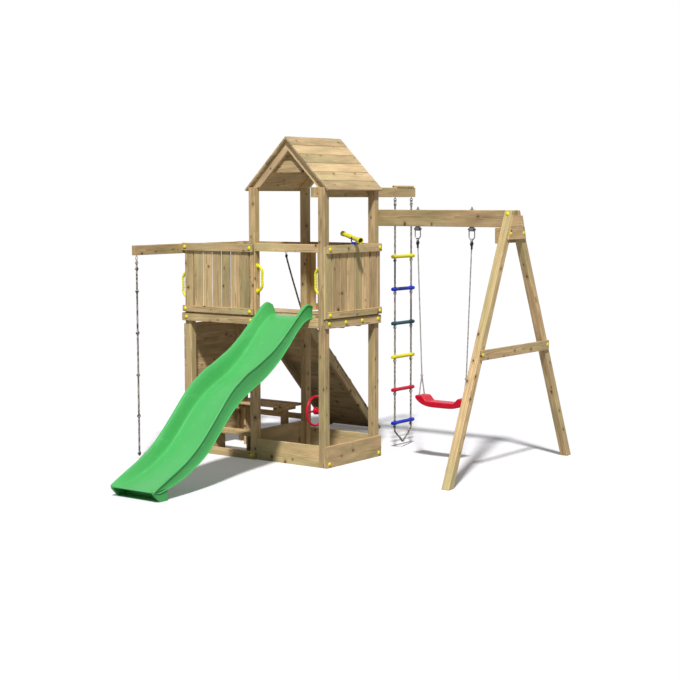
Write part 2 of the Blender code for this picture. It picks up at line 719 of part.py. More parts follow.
def hold_mesh(place, normal):
    """A rounded climbing grip that stands on a board."""
    profile = ((0.0, HOLD_TALL), (HOLD_RADIUS * 0.55, HOLD_TALL * 0.92), (HOLD_RADIUS * 0.9, HOLD_TALL * 0.5),
               (HOLD_RADIUS, 0.0), (0.0, 0.0))
    return turned_mesh(profile, along(normal, Vector(place) - Vector(normal) * BITE), 10)


def build_wall():
    out = LEFT - GAP - WALL_THICK
    pitch = CLIMB_BOARD + CLIMB_GAP
    boards = []
    for i in range(WALL_BOARDS):
        low = WALL_BOTTOM + i * pitch
        boards.append(span((out, LEFT - GAP), (FRONT, BACK), (low, low + CLIMB_BOARD)))
    top = WALL_BOTTOM + WALL_BOARDS * pitch - CLIMB_GAP
    batten_x = LEFT - GAP - BITE
    battens = [span((batten_x, batten_x + BATTEN), (y, y + side * BATTEN), (WALL_BOTTOM + EASE, top - EASE))
               for y, side in ((HALF + GAP, 1), (BAY_DEEP - HALF - GAP, -1))]
    holds = []
    for row, share in ((1, 0.3), (2, 0.7), (4, 0.25), (5, 0.62), (7, 0.35), (8, 0.75)):
        z = WALL_BOTTOM + row * pitch + CLIMB_BOARD / 2
        holds.append(hold_mesh((out, FRONT + share * (BACK - FRONT), z), (-1, 0, 0)))
    fused("climbing_wall", [cube_mesh(battens), cube_mesh(boards), joined(holds)], TIMBER)


def ramp_line(down, depth=0.0):
    """Y and Z of a point the given way down the ramp's face and the given depth under it."""
    top = BACK + FRAME_THICK + RAMP_START
    cos, sin = math.cos(RAMP_ANGLE), math.sin(RAMP_ANGLE)
    return top + down * cos - depth * sin, DECK_TOP - down * sin - depth * cos


def build_ramp():
    cos, sin, tan = math.cos(RAMP_ANGLE), math.sin(RAMP_ANGLE), math.tan(RAMP_ANGLE)
    start = BACK + GAP + FRAME_THICK + GAP
    under = RAMP_BOARD_THICK - BITE

    def height(y, depth):
        """Height of the line that lies the given depth under the ramp's face."""
        face_y, face_z = ramp_line(0.0, depth)
        return face_z - (y - face_y) * tan

    def reach(z, depth):
        face_y, face_z = ramp_line(0.0, depth)
        return face_y + (face_z - z) / tan

    outline = [(start, height(start, under)), (start, height(start, under + STRINGER_DEEP)),
               (reach(0.0, under + STRINGER_DEEP), 0.0), (reach(0.0, under), 0.0)]
    meshes = []
    for side in (-1, 1):
        middle = RAMP_CENTRE_X + side * (RAMP_BOARD_LONG / 2 - STRINGER_INSET - STRINGER_THICK / 2)
        meshes.append(plate_mesh(outline, "YZ", middle - STRINGER_THICK / 2, middle + STRINGER_THICK / 2))
    pitch = CLIMB_BOARD + CLIMB_GAP
    count = int((DECK_TOP / sin - RAMP_BOARD_THICK) / pitch)
    turn = Matrix.Rotation(-RAMP_ANGLE, 4, "X")
    boards = []
    for i in range(count):
        y, z = ramp_line(i * pitch + CLIMB_BOARD / 2, RAMP_BOARD_THICK / 2)
        board_size = Vector((RAMP_BOARD_LONG, CLIMB_BOARD, RAMP_BOARD_THICK))
        boards.append((Vector((RAMP_CENTRE_X, y, z)), board_size, turn))
    holds = []
    for row, across in ((3, 0.24), (5, -0.16), (6, 0.24), (8, -0.2), (9, 0.24), (11, -0.12)):
        y, z = ramp_line(row * pitch + CLIMB_BOARD / 2)
        holds.append(hold_mesh((RAMP_CENTRE_X + across, y, z), (0, sin, cos)))
    fused("climbing_ramp", [joined(meshes), cube_mesh(boards), joined(holds)], TIMBER)


# Boards near the ground

def build_base():
    out = (GAP, GAP + FRAME_THICK)
    z = (0.0, SANDBOX_TALL)
    bay = (POST_X["middle"] + HALF + GAP, -HALF - GAP)
    x = POST_X["middle"]
    block("sandbox_board_front", bay, (FRONT, FRONT + FRAME_THICK), z)
    outer = [eased_mesh([span((RIGHT + out[0], RIGHT + out[1]), (FRONT, BACK + CORNER_LAP), z)], EASE),
             eased_mesh([span((x - HALF, RIGHT + CORNER_LAP), (BACK + out[0], BACK + out[1]),
                              (BITE, SANDBOX_TALL - BITE))], EASE)]
    fused("sandbox_boards_outer", outer, TIMBER)
    block("sandbox_board_middle", (x - FRAME_THICK / 2, x + FRAME_THICK / 2), (HALF + GAP, BAY_DEEP - HALF - GAP),
          (0.0, MIDDLE_BOARD_TALL))
    block("base_rail_front", (LEFT, x + HALF), (FRONT - out[1], FRONT - out[0]), (0.0, BASE_RAIL_TALL))
    block("stretcher_back", (LEFT, x - HALF - GAP), (BACK + out[0], BACK + out[1]),
          (STRETCHER_TOP - STRETCHER_TALL, STRETCHER_TOP))


# Picnic table and bench under the left bay

def build_picnic():
    left = POST_X["left"] + HALF + TABLE_SIDE
    right = POST_X["middle"] - HALF - GAP
    bench_right = POST_X["middle"] - FRAME_THICK / 2 - GAP
    pitch = BOARD + BOARD_GAP
    under = TABLE_TOP - TABLE_BOARD_THICK
    table_back = TABLE_FRONT + TABLE_BOARDS * pitch - BOARD_GAP
    bench_front = HALF + GAP
    bench_back = bench_front + BENCH_BOARDS * pitch - BOARD_GAP
    middle = (TABLE_FRONT + table_back) / 2
    table = [span((left, right), (TABLE_FRONT + i * pitch, TABLE_FRONT + i * pitch + BOARD), (under, TABLE_TOP))
             for i in range(TABLE_BOARDS)]
    bench = [span((left, bench_right), (bench_front + i * pitch, bench_front + i * pitch + BOARD),
                  (BENCH_TOP - TABLE_BOARD_THICK, BENCH_TOP)) for i in range(BENCH_BOARDS)]
    cleats = []
    legs = []
    feet = []
    for x in (left + BOARD, right - BOARD):
        side = (x - FRAME_THICK / 2, x + FRAME_THICK / 2)
        cleats.append(span(side, (TABLE_FRONT + EASE, table_back - EASE),
                           (under + BITE - TABLE_CLEAT_TALL, under + BITE)))
        legs.append(span(side, (middle - TABLE_LEG / 2, middle + TABLE_LEG / 2),
                         (0.0, under + 2 * BITE - TABLE_CLEAT_TALL)))
        feet.append(span(side, (bench_front + EASE, bench_back - EASE),
                         (0.0, BENCH_TOP - TABLE_BOARD_THICK + BITE)))
    fused("picnic_table", [cube_mesh(cleats), cube_mesh(legs), cube_mesh(table)], TIMBER)
    fused("picnic_bench", [cube_mesh(feet), cube_mesh(bench)], TIMBER)


# Swing beam and A-frame

def leg_lean():
    """Lean of the legs from upright, so that foot and top both land where they should."""
    lean = 0.0
    for _ in range(20):
        lean = math.atan2(FOOT_SPREAD + HALF / math.cos(lean) - leg_top(), BEAM_TOP)
    return lean


def leg_top():
    """The legs' outer faces from the beam's centre, at the beam's top."""
    return BEAM_THICK / 2 + GAP + LEG_TOP_CUT


def leg_outer(z):
    """The legs' outer faces from the beam's centre at a height."""
    return leg_top() + (BEAM_TOP - z) * math.tan(leg_lean())


def build_swing_frame():
    z = (BEAM_BOTTOM, BEAM_TOP)
    beam = block("swing_beam", (-HALF, BEAM_END), (BEAM_FRONT, BEAM_FRONT + BEAM_THICK), z)
    for i, x in enumerate(hook_places()):
        low, high = BEAM_BOTTOM - BORE_PAST, BEAM_TOP + BORE_PAST
        bore = rod_mesh((x, BEAM_Y, low), (x, BEAM_Y, high), HOOK_BOLT_RADIUS + GAP)
        combine(beam, bore, f"beam_bore_{i}", "DIFFERENCE")
    wide = POST / math.cos(leg_lean())
    beam_face = BEAM_THICK / 2 + GAP
    meet = BEAM_TOP - (wide - LEG_TOP_CUT) / math.tan(leg_lean())
    section = [(leg_outer(0.0), 0.0), (leg_outer(0.0) - wide, 0.0), (beam_face, meet), (beam_face, BEAM_TOP),
               (leg_top(), BEAM_TOP)]
    for side, name in ((-1, "front"), (1, "back")):
        outline = [(BEAM_Y + side * y, z) for y, z in section]
        leg = add_mesh(f"swing_leg_{name}", plate_mesh(outline, "YZ", LEG_LEFT, BEAM_END), TIMBER)
        add_bevel(leg, EASE)

    outline = [(BEAM_Y - PLATE_HALF_BOTTOM, PLATE_BOTTOM), (BEAM_Y + PLATE_HALF_BOTTOM, PLATE_BOTTOM),
               (BEAM_Y + PLATE_HALF_TOP, PLATE_TOP), (BEAM_Y - PLATE_HALF_TOP, PLATE_TOP)]
    low = BEAM_END + GAP
    plate = add_mesh("frame_plate_outer", plate_mesh(outline, "YZ", low, low + PLATE_THICK), TIMBER)
    add_bevel(plate, SMALL_EASE)
    top = BEAM_BOTTOM - GAP
    block("frame_plate_inner", (LEG_LEFT - GAP - PLATE_THICK, LEG_LEFT - GAP),
          (BEAM_Y - INNER_PLATE_HALF, BEAM_Y + INNER_PLATE_HALF), (top - INNER_PLATE_TALL, top), TIMBER, SMALL_EASE)
    bar_half = leg_outer(CROSS_BAR_Z) - wide / 2 + CROSS_BAR_PAST
    block("cross_bar", (BEAM_END + GAP, BEAM_END + GAP + CROSS_BAR_THICK),
          (BEAM_Y - bar_half, BEAM_Y + bar_half),
          (CROSS_BAR_Z - CROSS_BAR_TALL / 2, CROSS_BAR_Z + CROSS_BAR_TALL / 2))


# Swing

def hook_places():
    return SWING_CENTRE_X - HOOK_HALF, SWING_CENTRE_X + HOOK_HALF


def build_swing():
    block_top = SWING_PIVOT_Z + HANGER_TALL / 2
    nut = WASHER_RADIUS * 0.6
    nut_top = BEAM_TOP + GAP + WASHER_THICK + NUT_TALL
    profile = ((0.0, BEAM_TOP + HOOK_BOLT_PROUD), (HOOK_BOLT_RADIUS, BEAM_TOP + HOOK_BOLT_PROUD),
               (HOOK_BOLT_RADIUS, nut_top), (nut, nut_top),
               (nut, BEAM_TOP + GAP + WASHER_THICK), (WASHER_RADIUS, BEAM_TOP + GAP + WASHER_THICK),
               (WASHER_RADIUS, BEAM_TOP + GAP), (HOOK_BOLT_RADIUS, BEAM_TOP + GAP),
               (HOOK_BOLT_RADIUS, BEAM_BOTTOM - GAP), (WASHER_RADIUS, BEAM_BOTTOM - GAP),
               (WASHER_RADIUS, block_top - BITE), (0.0, block_top - BITE))
    axis = pivot("swing_axis", (SWING_CENTRE_X, BEAM_Y, SWING_PIVOT_Z))
    origin = axis.location
    low = SWING_PIVOT_Z - SHACKLE_DROP
    arm = HANGER_WIDE / 2 + SHACKLE_RADIUS + GAP
    eye_z = low - EYE_RADIUS + SHACKLE_RADIUS
    knot_z = eye_z - EYE_RADIUS - ROPE_KNOT_RADIUS * 0.8

    for side, name, x in zip((-1, 1), ("left", "right"), hook_places()):
        hanger = eased_mesh([span((x - HANGER_WIDE / 2, x + HANGER_WIDE / 2),
                                  (BEAM_Y - HANGER_DEEP / 2, BEAM_Y + HANGER_DEEP / 2),
                                  (block_top - HANGER_TALL, block_top))])
        fused(f"swing_hanger_{name}", [hanger, turned_mesh(profile, Matrix.Translation((x, BEAM_Y, 0)))], STEEL)

        bend = [(x - arm * math.cos(a), BEAM_Y, low + arm - arm * math.sin(a))
                for a in (math.pi * i / 8 for i in range(9))]
        top = Vector((x, BEAM_Y, knot_z))
        split = Vector((SWING_CENTRE_X + side * SEAT_ROPE_HALF, BEAM_Y, SPLIT_Z))
        meshes = [tube_mesh([(x - arm, BEAM_Y, SWING_PIVOT_Z + SHACKLE_RADIUS), *bend,
                             (x + arm, BEAM_Y, SWING_PIVOT_Z + SHACKLE_RADIUS)], SHACKLE_RADIUS),
                  ring_mesh(EYE_RADIUS, EYE_WIRE, along((1, 0, 0), (x, BEAM_Y, eye_z)), 12),
                  knot_mesh(top, ROPE_KNOT_RADIUS), rod_mesh(top, split, SWING_ROPE_RADIUS, 8),
                  knot_mesh(split, ROPE_KNOT_RADIUS)]
        for way in (-1, 1):
            hole = Vector((split.x, BEAM_Y + way * SEAT_EYE_HALF, seat_top(SEAT_ROPE_HALF) + 4 * GAP))
            line = (hole - split).normalized()
            lift = SWING_ROPE_RADIUS * abs(line.y) / abs(line.z)
            meshes.append(rod_mesh(split, hole - line * lift, SWING_ROPE_RADIUS, 8))
        fused(f"swing_rope_{name}", meshes, PALE_ROPE, origin, axis)

    tops = (-1.0, -0.85, -0.74, -0.68, -0.62, -0.56, -0.50, 0.0, 0.50, 0.56, 0.62, 0.68, 0.74, 0.85, 1.0)
    top_line = [(SWING_CENTRE_X + t * SEAT_HALF, seat_top(t * SEAT_HALF) + BITE * (1 - abs(t))) for t in tops]
    shares = [i / 8 for i in range(8, -9, -1)]
    low_line = [(SWING_CENTRE_X + t * SEAT_HALF, seat_low(t * SEAT_HALF)) for t in shares]
    half = SEAT_DEEP / 2
    belt = plate_mesh(top_line + low_line, "XZ", BEAM_Y - half, BEAM_Y + half)
    seat = add_mesh("swing_seat", belt, RED, origin, axis)
    add_bevel(seat, SEAT_EDGE, 2).angle_limit = math.radians(60)


def seat_top(from_middle):
    """Height of the seat's upper face, which steps up to a pad at each end."""
    start, end = SEAT_PAD
    share = min(1.0, max(0.0, (abs(from_middle) / SEAT_HALF - start) / (end - start)))
    return SEAT_LOW + SEAT_THICK + SEAT_PAD_RISE * share * share * (3 - 2 * share)


def seat_low(from_middle):
    """Height of the seat's underside, which rises towards both ends."""
    rise = SEAT_THICK + SEAT_PAD_RISE - SEAT_END_THICK
    return SEAT_LOW + rise * (abs(from_middle) / SEAT_HALF) ** 4


def knot_mesh(place, radius, steps=10):
    rows = 6
    turns = [math.pi * i / rows for i in range(rows + 1)]
    profile = [(radius * math.sin(a), radius * math.cos(a)) for a in turns]
    return turned_mesh(profile, Matrix.Translation(place), steps)


# Rope ladder

def build_ladder():
    y0, y1 = LADDER_ROPES_Y
    middle = (y0 + y1) / 2
    rope = LADDER_ROPE_RADIUS
    axis = pivot("ladder_axis", (LADDER_X, middle, LADDER_PIVOT_Z))
    origin = axis.location
    eye_z = LADDER_PIVOT_Z - RING_RADIUS + RING_WIRE + GAP - (RING_RADIUS - RING_WIRE)
    rope_top = eye_z - RING_RADIUS
    bottom = RUNG_HEIGHTS[-1] - RUNG_COLLAR_RADIUS - GAP - LADDER_KNOT_TALL
    profile = [(0.0, rope_top), (rope, rope_top)]
    for height in RUNG_HEIGHTS:
        knot = height - RUNG_COLLAR_RADIUS - GAP
        profile += [(rope, knot), (LADDER_KNOT_RADIUS, knot - LADDER_KNOT_TALL * 0.25),
                    (LADDER_KNOT_RADIUS, knot - LADDER_KNOT_TALL * 0.75), (rope, knot - LADDER_KNOT_TALL)]
    profile.append((0.0, bottom))
    for name, y in zip(("front", "back"), LADDER_ROPES_Y):
        meshes = [turned_mesh(profile, Matrix.Translation((LADDER_X, y, 0)), 8),
                  ring_mesh(RING_RADIUS, RING_WIRE, along((1, 0, 0), (LADDER_X, y, eye_z)), 12)]
        fused(f"ladder_rope_{name}", meshes, DARK_ROPE, origin, axis)
    ends = [Vector((LADDER_X, y, bottom - GAP)) for y in LADDER_ROPES_Y]
    lead = Vector((0, 0, -TIE_LEAD))
    half_tie = [(y0, bottom - GAP - TIE_LEAD), (y0 + TIE_LEAD, bottom - TIE_LEAD * 3),
                (middle - TIE_LEAD * 3, LADDER_TIP_Z + TIE_LEAD * 2.5), (middle - TIE_LEAD, LADDER_TIP_Z + TIE_LEAD / 3)]
    tie = half_tie + [(2 * middle - y, z) for y, z in reversed(half_tie)]
    line = smooth_route([(LADDER_X, y, z) for y, z in tie], 3 * rope)
    add_mesh("ladder_tie", tube_mesh([ends[0], *line, ends[1]], rope), DARK_ROPE, origin, axis)

    rope_at = (y1 - y0) / 2
    half = rope_at + RUNG_PAST_ROPE
    collar = RUNG_COLLAR_LONG / 2
    profile = [(0.0, half), (RUNG_RADIUS, half), (RUNG_RADIUS, rope_at + collar),
               (RUNG_COLLAR_RADIUS, rope_at + collar),
               (RUNG_COLLAR_RADIUS, rope_at - collar), (RUNG_RADIUS, rope_at - collar)]
    profile += [(radius, -place) for radius, place in reversed(profile)]
    for i, (height, look) in enumerate(zip(RUNG_HEIGHTS, (YELLOW, BLUE, TEAL, YELLOW, RED, BLUE))):
        name = f"ladder_rung_{i + 1}"
        lathed = turned_mesh(profile, along((0, 1, 0), (LADDER_X, middle, height)))
        rung = add_mesh(name, lathed, look, origin, axis)
        bores = [rod_mesh((LADDER_X, y, height - 0.05), (LADDER_X, y, height + 0.05), rope + RUNG_BORE_CLEAR, 10)
                 for y in LADDER_ROPES_Y]
        combine(rung, joined(bores), f"{name}_bores", "DIFFERENCE")


# Climbing rope at the left and pull rope on the ramp

def build_ropes():
    hang = ROPE_HOOK_DROP + RING_RADIUS + RING_WIRE + GAP
    top = ROPE_BEAM_BOTTOM - hang
    route = [(ROPE_BEAM_X, CLIMB_ROPE_Y, top), (ROPE_BEAM_X, CLIMB_ROPE_Y, 0.9),
             (ROPE_BEAM_X, CLIMB_ROPE_Y, CLIMB_ROPE_END)]
    radius = CLIMB_ROPE_RADIUS
    add_mesh("climbing_rope", tube_mesh(smooth_route(route, 6 * radius), radius), DARK_ROPE)

    bar_y = BACK + GAP + RAIL_THICK / 2
    radius = RAMP_ROPE_RADIUS
    clear = radius + ROPE_REST
    top = ENTRY_BAR_TOP - ENTRY_BAR_TALL - hang
    route = [(RAMP_ROPE_X, bar_y, top)] + [(RAMP_ROPE_X, bar_y + y, top + z) for y, z in ROPE_HANGS]
    for down, lift in ROPE_LIES:
        y, z = ramp_line(down, -clear - lift)
        route.append((RAMP_ROPE_X, y, z))
    add_mesh("ramp_rope", tube_mesh(smooth_route(route, 6 * radius), radius), DARK_ROPE)


# Slide

def build_slide():
    half = SLIDE_WIDTH / 2
    share = DECK_TOP / SLIDE_DRAWN_DECK
    bed = [(y, DECK_TOP + GAP + SLIDE_SHELL) for y in SLIDE_SEAT] + [(y, z * share) for y, z in SLIDE_BED]
    front_y, front_z = bed[-1]
    foot_back, foot_front = SLIDE_FOOT
    under = [(y, z - SLIDE_SHELL) for y, z in bed if y > foot_back]
    foot_top = under[-1][1] - SLIDE_LIP / 2
    lip = [(front_y - SLIDE_LIP / 3, front_z - SLIDE_LIP / 3),
           (front_y, front_z - SLIDE_LIP), (foot_front, 0.0),
           (foot_back, 0.0), (foot_back, foot_top)]
    outline = [(y, z * share) for y, z in SLIDE_RIM] + lip + list(reversed(under))
    slide = add_mesh("slide", plate_mesh(outline, "YZ", SLIDE_CENTRE_X - half, SLIDE_CENTRE_X + half), GREEN)
    channel = [(bed[0][0] + 0.1, 1.6), (bed[0][0] + 0.1, bed[0][1] + 0.02)] + bed
    channel += [(front_y - 0.1, front_z - 0.006), (front_y - 0.1, 1.6)]
    inner = half - SLIDE_WALL
    mesh = plate_mesh(channel, "YZ", SLIDE_CENTRE_X - inner, SLIDE_CENTRE_X + inner)
    combine(slide, mesh, "slide_channel", "DIFFERENCE")


# Handgrips, steering wheel and telescope

def build_handgrips():
    rise = GRIP_TALL
    faces = {"middle": (POST_X["middle"] + HALF, 1), "right": (-HALF, -1), "left": (LEFT, -1)}
    for side, (face, way) in faces.items():
        name = f"handgrip_{side}"
        low = DECK_TOP + GRIP_RISE[side]
        start = face + way * (GAP + GRIP_PAD_THICK - 0.002)
        reach = face + way * GRIP_REACH
        route = [(start, 0, low), (start + way * 0.018, 0, low + 0.006), (reach - way * 0.012, 0, low + 0.045),
                 (reach - way * GRIP_RADIUS, 0, low + 0.085), (reach - way * GRIP_RADIUS, 0, low + rise - 0.085),
                 (reach - way * 0.012, 0, low + rise - 0.045), (start + way * 0.018, 0, low + rise - 0.006),
                 (start, 0, low + rise)]
        grip = add_mesh(name, tube_mesh(smooth_route(route, 2.4 * GRIP_RADIUS), GRIP_RADIUS), YELLOW)
        for i, z in enumerate((low, low + rise)):
            pad_ends = ((face + way * GAP, 0, z), (face + way * (GAP + GRIP_PAD_THICK), 0, z))
            pad = rod_mesh(*pad_ends, GRIP_PAD_RADIUS)
            combine(grip, pad, f"{name}_pad_{i}", "UNION")


def build_wheel():
    boss_end = -HALF - GAP - WHEEL_BOSS_LONG
    boss = rod_mesh((-HALF - GAP, 0, WHEEL_Z), (boss_end, 0, WHEEL_Z), WHEEL_BOSS_RADIUS)
    add_mesh("steering_wheel_boss", boss, RED)
    axis = pivot("steering_axis", (WHEEL_X, 0, WHEEL_Z))
    rim = ring_mesh(WHEEL_RADIUS, WHEEL_RIM, along((1, 0, 0), (WHEEL_X, 0, WHEEL_Z)), 24)
    wheel = add_mesh("steering_wheel", rim, RED, axis.location, axis)
    half = WHEEL_HUB_LONG / 2
    hub = rod_mesh((WHEEL_X - half, 0, WHEEL_Z), (WHEEL_X + half, 0, WHEEL_Z), WHEEL_HUB_RADIUS)
    combine(wheel, hub, "wheel_hub", "UNION")
    thin = WHEEL_SPOKE * 0.3
    spoke = cube_mesh([span((WHEEL_X - thin, WHEEL_X + thin), (-WHEEL_RADIUS, WHEEL_RADIUS),
                            (WHEEL_Z - WHEEL_SPOKE / 2, WHEEL_Z + WHEEL_SPOKE / 2))])
    combine(wheel, spoke, "wheel_spoke", "UNION")


def build_telescope():
    rail_top = TOP_RAIL_BOTTOM + TOP_RAIL_TALL
    pan = pivot("telescope_pan", (SCOPE_X, SCOPE_Y, SCOPE_Z))
    tilt = pivot("telescope_tilt", (SCOPE_X, SCOPE_Y, SCOPE_Z), pan)
    turn = Matrix.Translation((SCOPE_X, SCOPE_Y, SCOPE_Z)) @ Matrix.Rotation(SCOPE_TURN, 4, "Z")
    base = ((0.0, rail_top + GAP + YOKE_BASE_TALL), (YOKE_BASE_RADIUS * 0.6, rail_top + GAP + YOKE_BASE_TALL),
            (YOKE_BASE_RADIUS * 0.6, rail_top + GAP + YOKE_BASE_TALL * 0.5),
            (YOKE_BASE_RADIUS * 0.54, rail_top + GAP + YOKE_BASE_TALL * 0.5),
            (YOKE_BASE_RADIUS * 0.54, rail_top + GAP), (0.0, rail_top + GAP))
    add_mesh("telescope_base", turned_mesh(base, Matrix.Translation((SCOPE_X, SCOPE_Y, 0))), BLUE)

    arm_y = SCOPE_RADIUS + GAP + YOKE_ARM / 2
    floor = rail_top + GAP + YOKE_BASE_TALL + GAP - SCOPE_Z
    outline = [(-arm_y - YOKE_ARM / 2, PIN_RADIUS * 3), (-arm_y - YOKE_ARM / 2, floor + YOKE_ARM), (-arm_y * 0.5, floor),
               (arm_y * 0.5, floor), (arm_y + YOKE_ARM / 2, floor + YOKE_ARM), (arm_y + YOKE_ARM / 2, PIN_RADIUS * 3),
               (arm_y - YOKE_ARM / 2, PIN_RADIUS * 3), (arm_y - YOKE_ARM / 2, floor + YOKE_ARM * 1.35),
               (arm_y * 0.4, floor + YOKE_ARM * 0.7), (-arm_y * 0.4, floor + YOKE_ARM * 0.7),
               (-arm_y + YOKE_ARM / 2, floor + YOKE_ARM * 1.35), (-arm_y + YOKE_ARM / 2, PIN_RADIUS * 3)]
    mesh = plate_mesh(outline, "YZ", -YOKE_ARM * 0.8, YOKE_ARM * 0.8)
    mesh.transform(turn)
    add_mesh("telescope_yoke", mesh, BLUE, pan.location, pan)

    bell = SCOPE_FRONT - SCOPE_BELL_LONG
    profile = [(0.0, SCOPE_FRONT - SCOPE_BORE_DEEP), (SCOPE_BORE, SCOPE_FRONT - SCOPE_BORE_DEEP), (SCOPE_BORE, SCOPE_FRONT),
               (SCOPE_BELL, SCOPE_FRONT), (SCOPE_BELL, bell + SCOPE_BELL_LONG * 0.4), (SCOPE_RADIUS, bell),
               (SCOPE_RADIUS, -SCOPE_BACK + 0.03), (SCOPE_RADIUS * 1.12, -SCOPE_BACK + 0.022),
               (SCOPE_RADIUS * 1.12, -SCOPE_BACK), (0.0, -SCOPE_BACK)]
    place = turn @ Matrix.Rotation(math.pi / 2 + SCOPE_DIP, 4, "Y")
    add_mesh("telescope_tube", turned_mesh(profile, place, 16), YELLOW, tilt.location, tilt)


build_posts()
build_deck()
build_railings()
build_roof()
build_side_beams()
build_wall()
build_ramp()
build_base()
build_picnic()
build_swing_frame()
build_swing()
build_ladder()
build_ropes()
build_slide()
build_handgrips()
build_wheel()
build_telescope()
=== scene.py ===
import math
import bpy
import numpy as np
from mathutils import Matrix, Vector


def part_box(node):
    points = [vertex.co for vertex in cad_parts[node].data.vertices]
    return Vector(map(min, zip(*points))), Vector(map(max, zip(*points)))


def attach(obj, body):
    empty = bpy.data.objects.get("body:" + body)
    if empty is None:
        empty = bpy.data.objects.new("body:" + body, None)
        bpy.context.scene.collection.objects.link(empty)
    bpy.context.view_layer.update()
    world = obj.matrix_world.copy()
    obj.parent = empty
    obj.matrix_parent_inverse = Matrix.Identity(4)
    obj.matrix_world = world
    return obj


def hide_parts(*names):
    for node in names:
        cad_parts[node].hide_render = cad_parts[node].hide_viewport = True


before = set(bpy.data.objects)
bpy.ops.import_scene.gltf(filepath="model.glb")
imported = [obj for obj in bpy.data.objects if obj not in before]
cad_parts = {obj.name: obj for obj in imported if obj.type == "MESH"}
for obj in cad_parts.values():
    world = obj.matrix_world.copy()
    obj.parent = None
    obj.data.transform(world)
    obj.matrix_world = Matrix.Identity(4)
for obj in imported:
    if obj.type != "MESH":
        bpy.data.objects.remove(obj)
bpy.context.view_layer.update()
dice = np.random.default_rng(11)
xAxis, yAxis, zAxis = np.eye(3)
print("frame loaded")


# Camera, light and floor

shot = {"place": (7.768, -10.181, 2.346), "heading": 36.71, "dip": 5.493, "roll": 0.12, "lens": 78.93, "sensor": 36.0,
        "far": 300.0}
lamp = {"sun": 3.55, "spread": 4.5, "from": (0.36, -0.52, 0.775), "colour": (1.0, 0.985, 0.95), "sky": 0.15}
ground = {"half": 60.0, "z": -0.0005, "bounce": 0.42, "blue": 1.06, "shadowLift": 0.12}
white = (1.0, 1.0, 1.0, 1.0)


def addObject(name, data):
    made = bpy.data.objects.new(name, data)
    bpy.context.scene.collection.objects.link(made)
    return made


cameraData = bpy.data.cameras.new("camera")
cameraData.lens, cameraData.sensor_width, cameraData.clip_end = shot["lens"], shot["sensor"], shot["far"]
camera = addObject("camera", cameraData)
camera.location = shot["place"]
camera.rotation_euler = [math.radians(angle) for angle in (90.0 - shot["dip"], shot["roll"], shot["heading"])]
bpy.context.scene.camera = camera
bpy.context.scene.view_settings.view_transform = "Standard"

sunData = bpy.data.lights.new("sun", "SUN")
sunData.energy, sunData.angle, sunData.color = lamp["sun"], math.radians(lamp["spread"]), lamp["colour"]
east, north, high = lamp["from"]
addObject("sun", sunData).rotation_euler = (math.atan2(math.hypot(east, north), high), 0.0, math.atan2(east, -north))


def put(tree, kind, links=None, **settings):
    # one shader node, with its settings, and each input either joined to a socket or given a value
    made = tree.nodes.new("ShaderNode" + kind)
    for name, value in settings.items():
        setattr(made, name, value)
    for key, value in (links or {}).items():
        if isinstance(value, bpy.types.NodeSocket):
            tree.links.new(value, made.inputs[key])
        else:
            made.inputs[key].default_value = value
    return made


def calc(tree, operation, *values):
    return put(tree, "Math", dict(enumerate(values)), operation=operation).outputs[0]


def add(tree, *values):
    return calc(tree, "ADD", *values)


def mul(tree, *values):
    return calc(tree, "MULTIPLY", *values)


def mulAdd(tree, *values):
    return calc(tree, "MULTIPLY_ADD", *values)


def fade(tree, value, low, high, start=0.0, end=1.0):
    # smooth step of a value from start to end between low and high
    return put(tree, "MapRange", {0: value, 1: low, 2: high, 3: start, 4: end},
               interpolation_type="SMOOTHSTEP").outputs[0]


def tinted(tree, share, first, second, mode="MIX"):
    return put(tree, "Mix", {0: share, 6: first, 7: second}, data_type="RGBA", blend_type=mode).outputs[2]


def shaded(tree, colour, level):
    # the colour times a grey of this level
    return tinted(tree, 1.0, colour, put(tree, "CombineColor", {0: level, 1: level, 2: level}).outputs[0], "MULTIPLY")


def noise(tree, vector, scale, detail=2.0, rough=0.5):
    return put(tree, "TexNoise", {"Vector": vector, "Scale": scale, "Detail": detail,
                                  "Roughness": rough}).outputs["Fac"]


def stretched(tree, vector, factors, detail=2.0, rough=0.5):
    # noise in a space drawn out by a factor for each axis
    drawn = put(tree, "VectorMath", {0: vector, 1: factors}, operation="MULTIPLY").outputs[0]
    return noise(tree, drawn, 1.0, detail, rough)


def startLook(name):
    look = bpy.data.materials.new(name)
    look.use_nodes = True
    return look, look.node_tree


world = bpy.data.worlds.new("studio")
world.use_nodes = True
bpy.context.scene.world = world
tree = world.node_tree
background = tree.nodes["Background"]
rays = put(tree, "LightPath").outputs
seen = calc(tree, "MAXIMUM", rays["Is Camera Ray"], rays["Is Glossy Ray"])
tree.links.new(mulAdd(tree, seen, 1.0 - lamp["sky"], lamp["sky"]), background.inputs["Strength"])
background.inputs["Color"].default_value = white

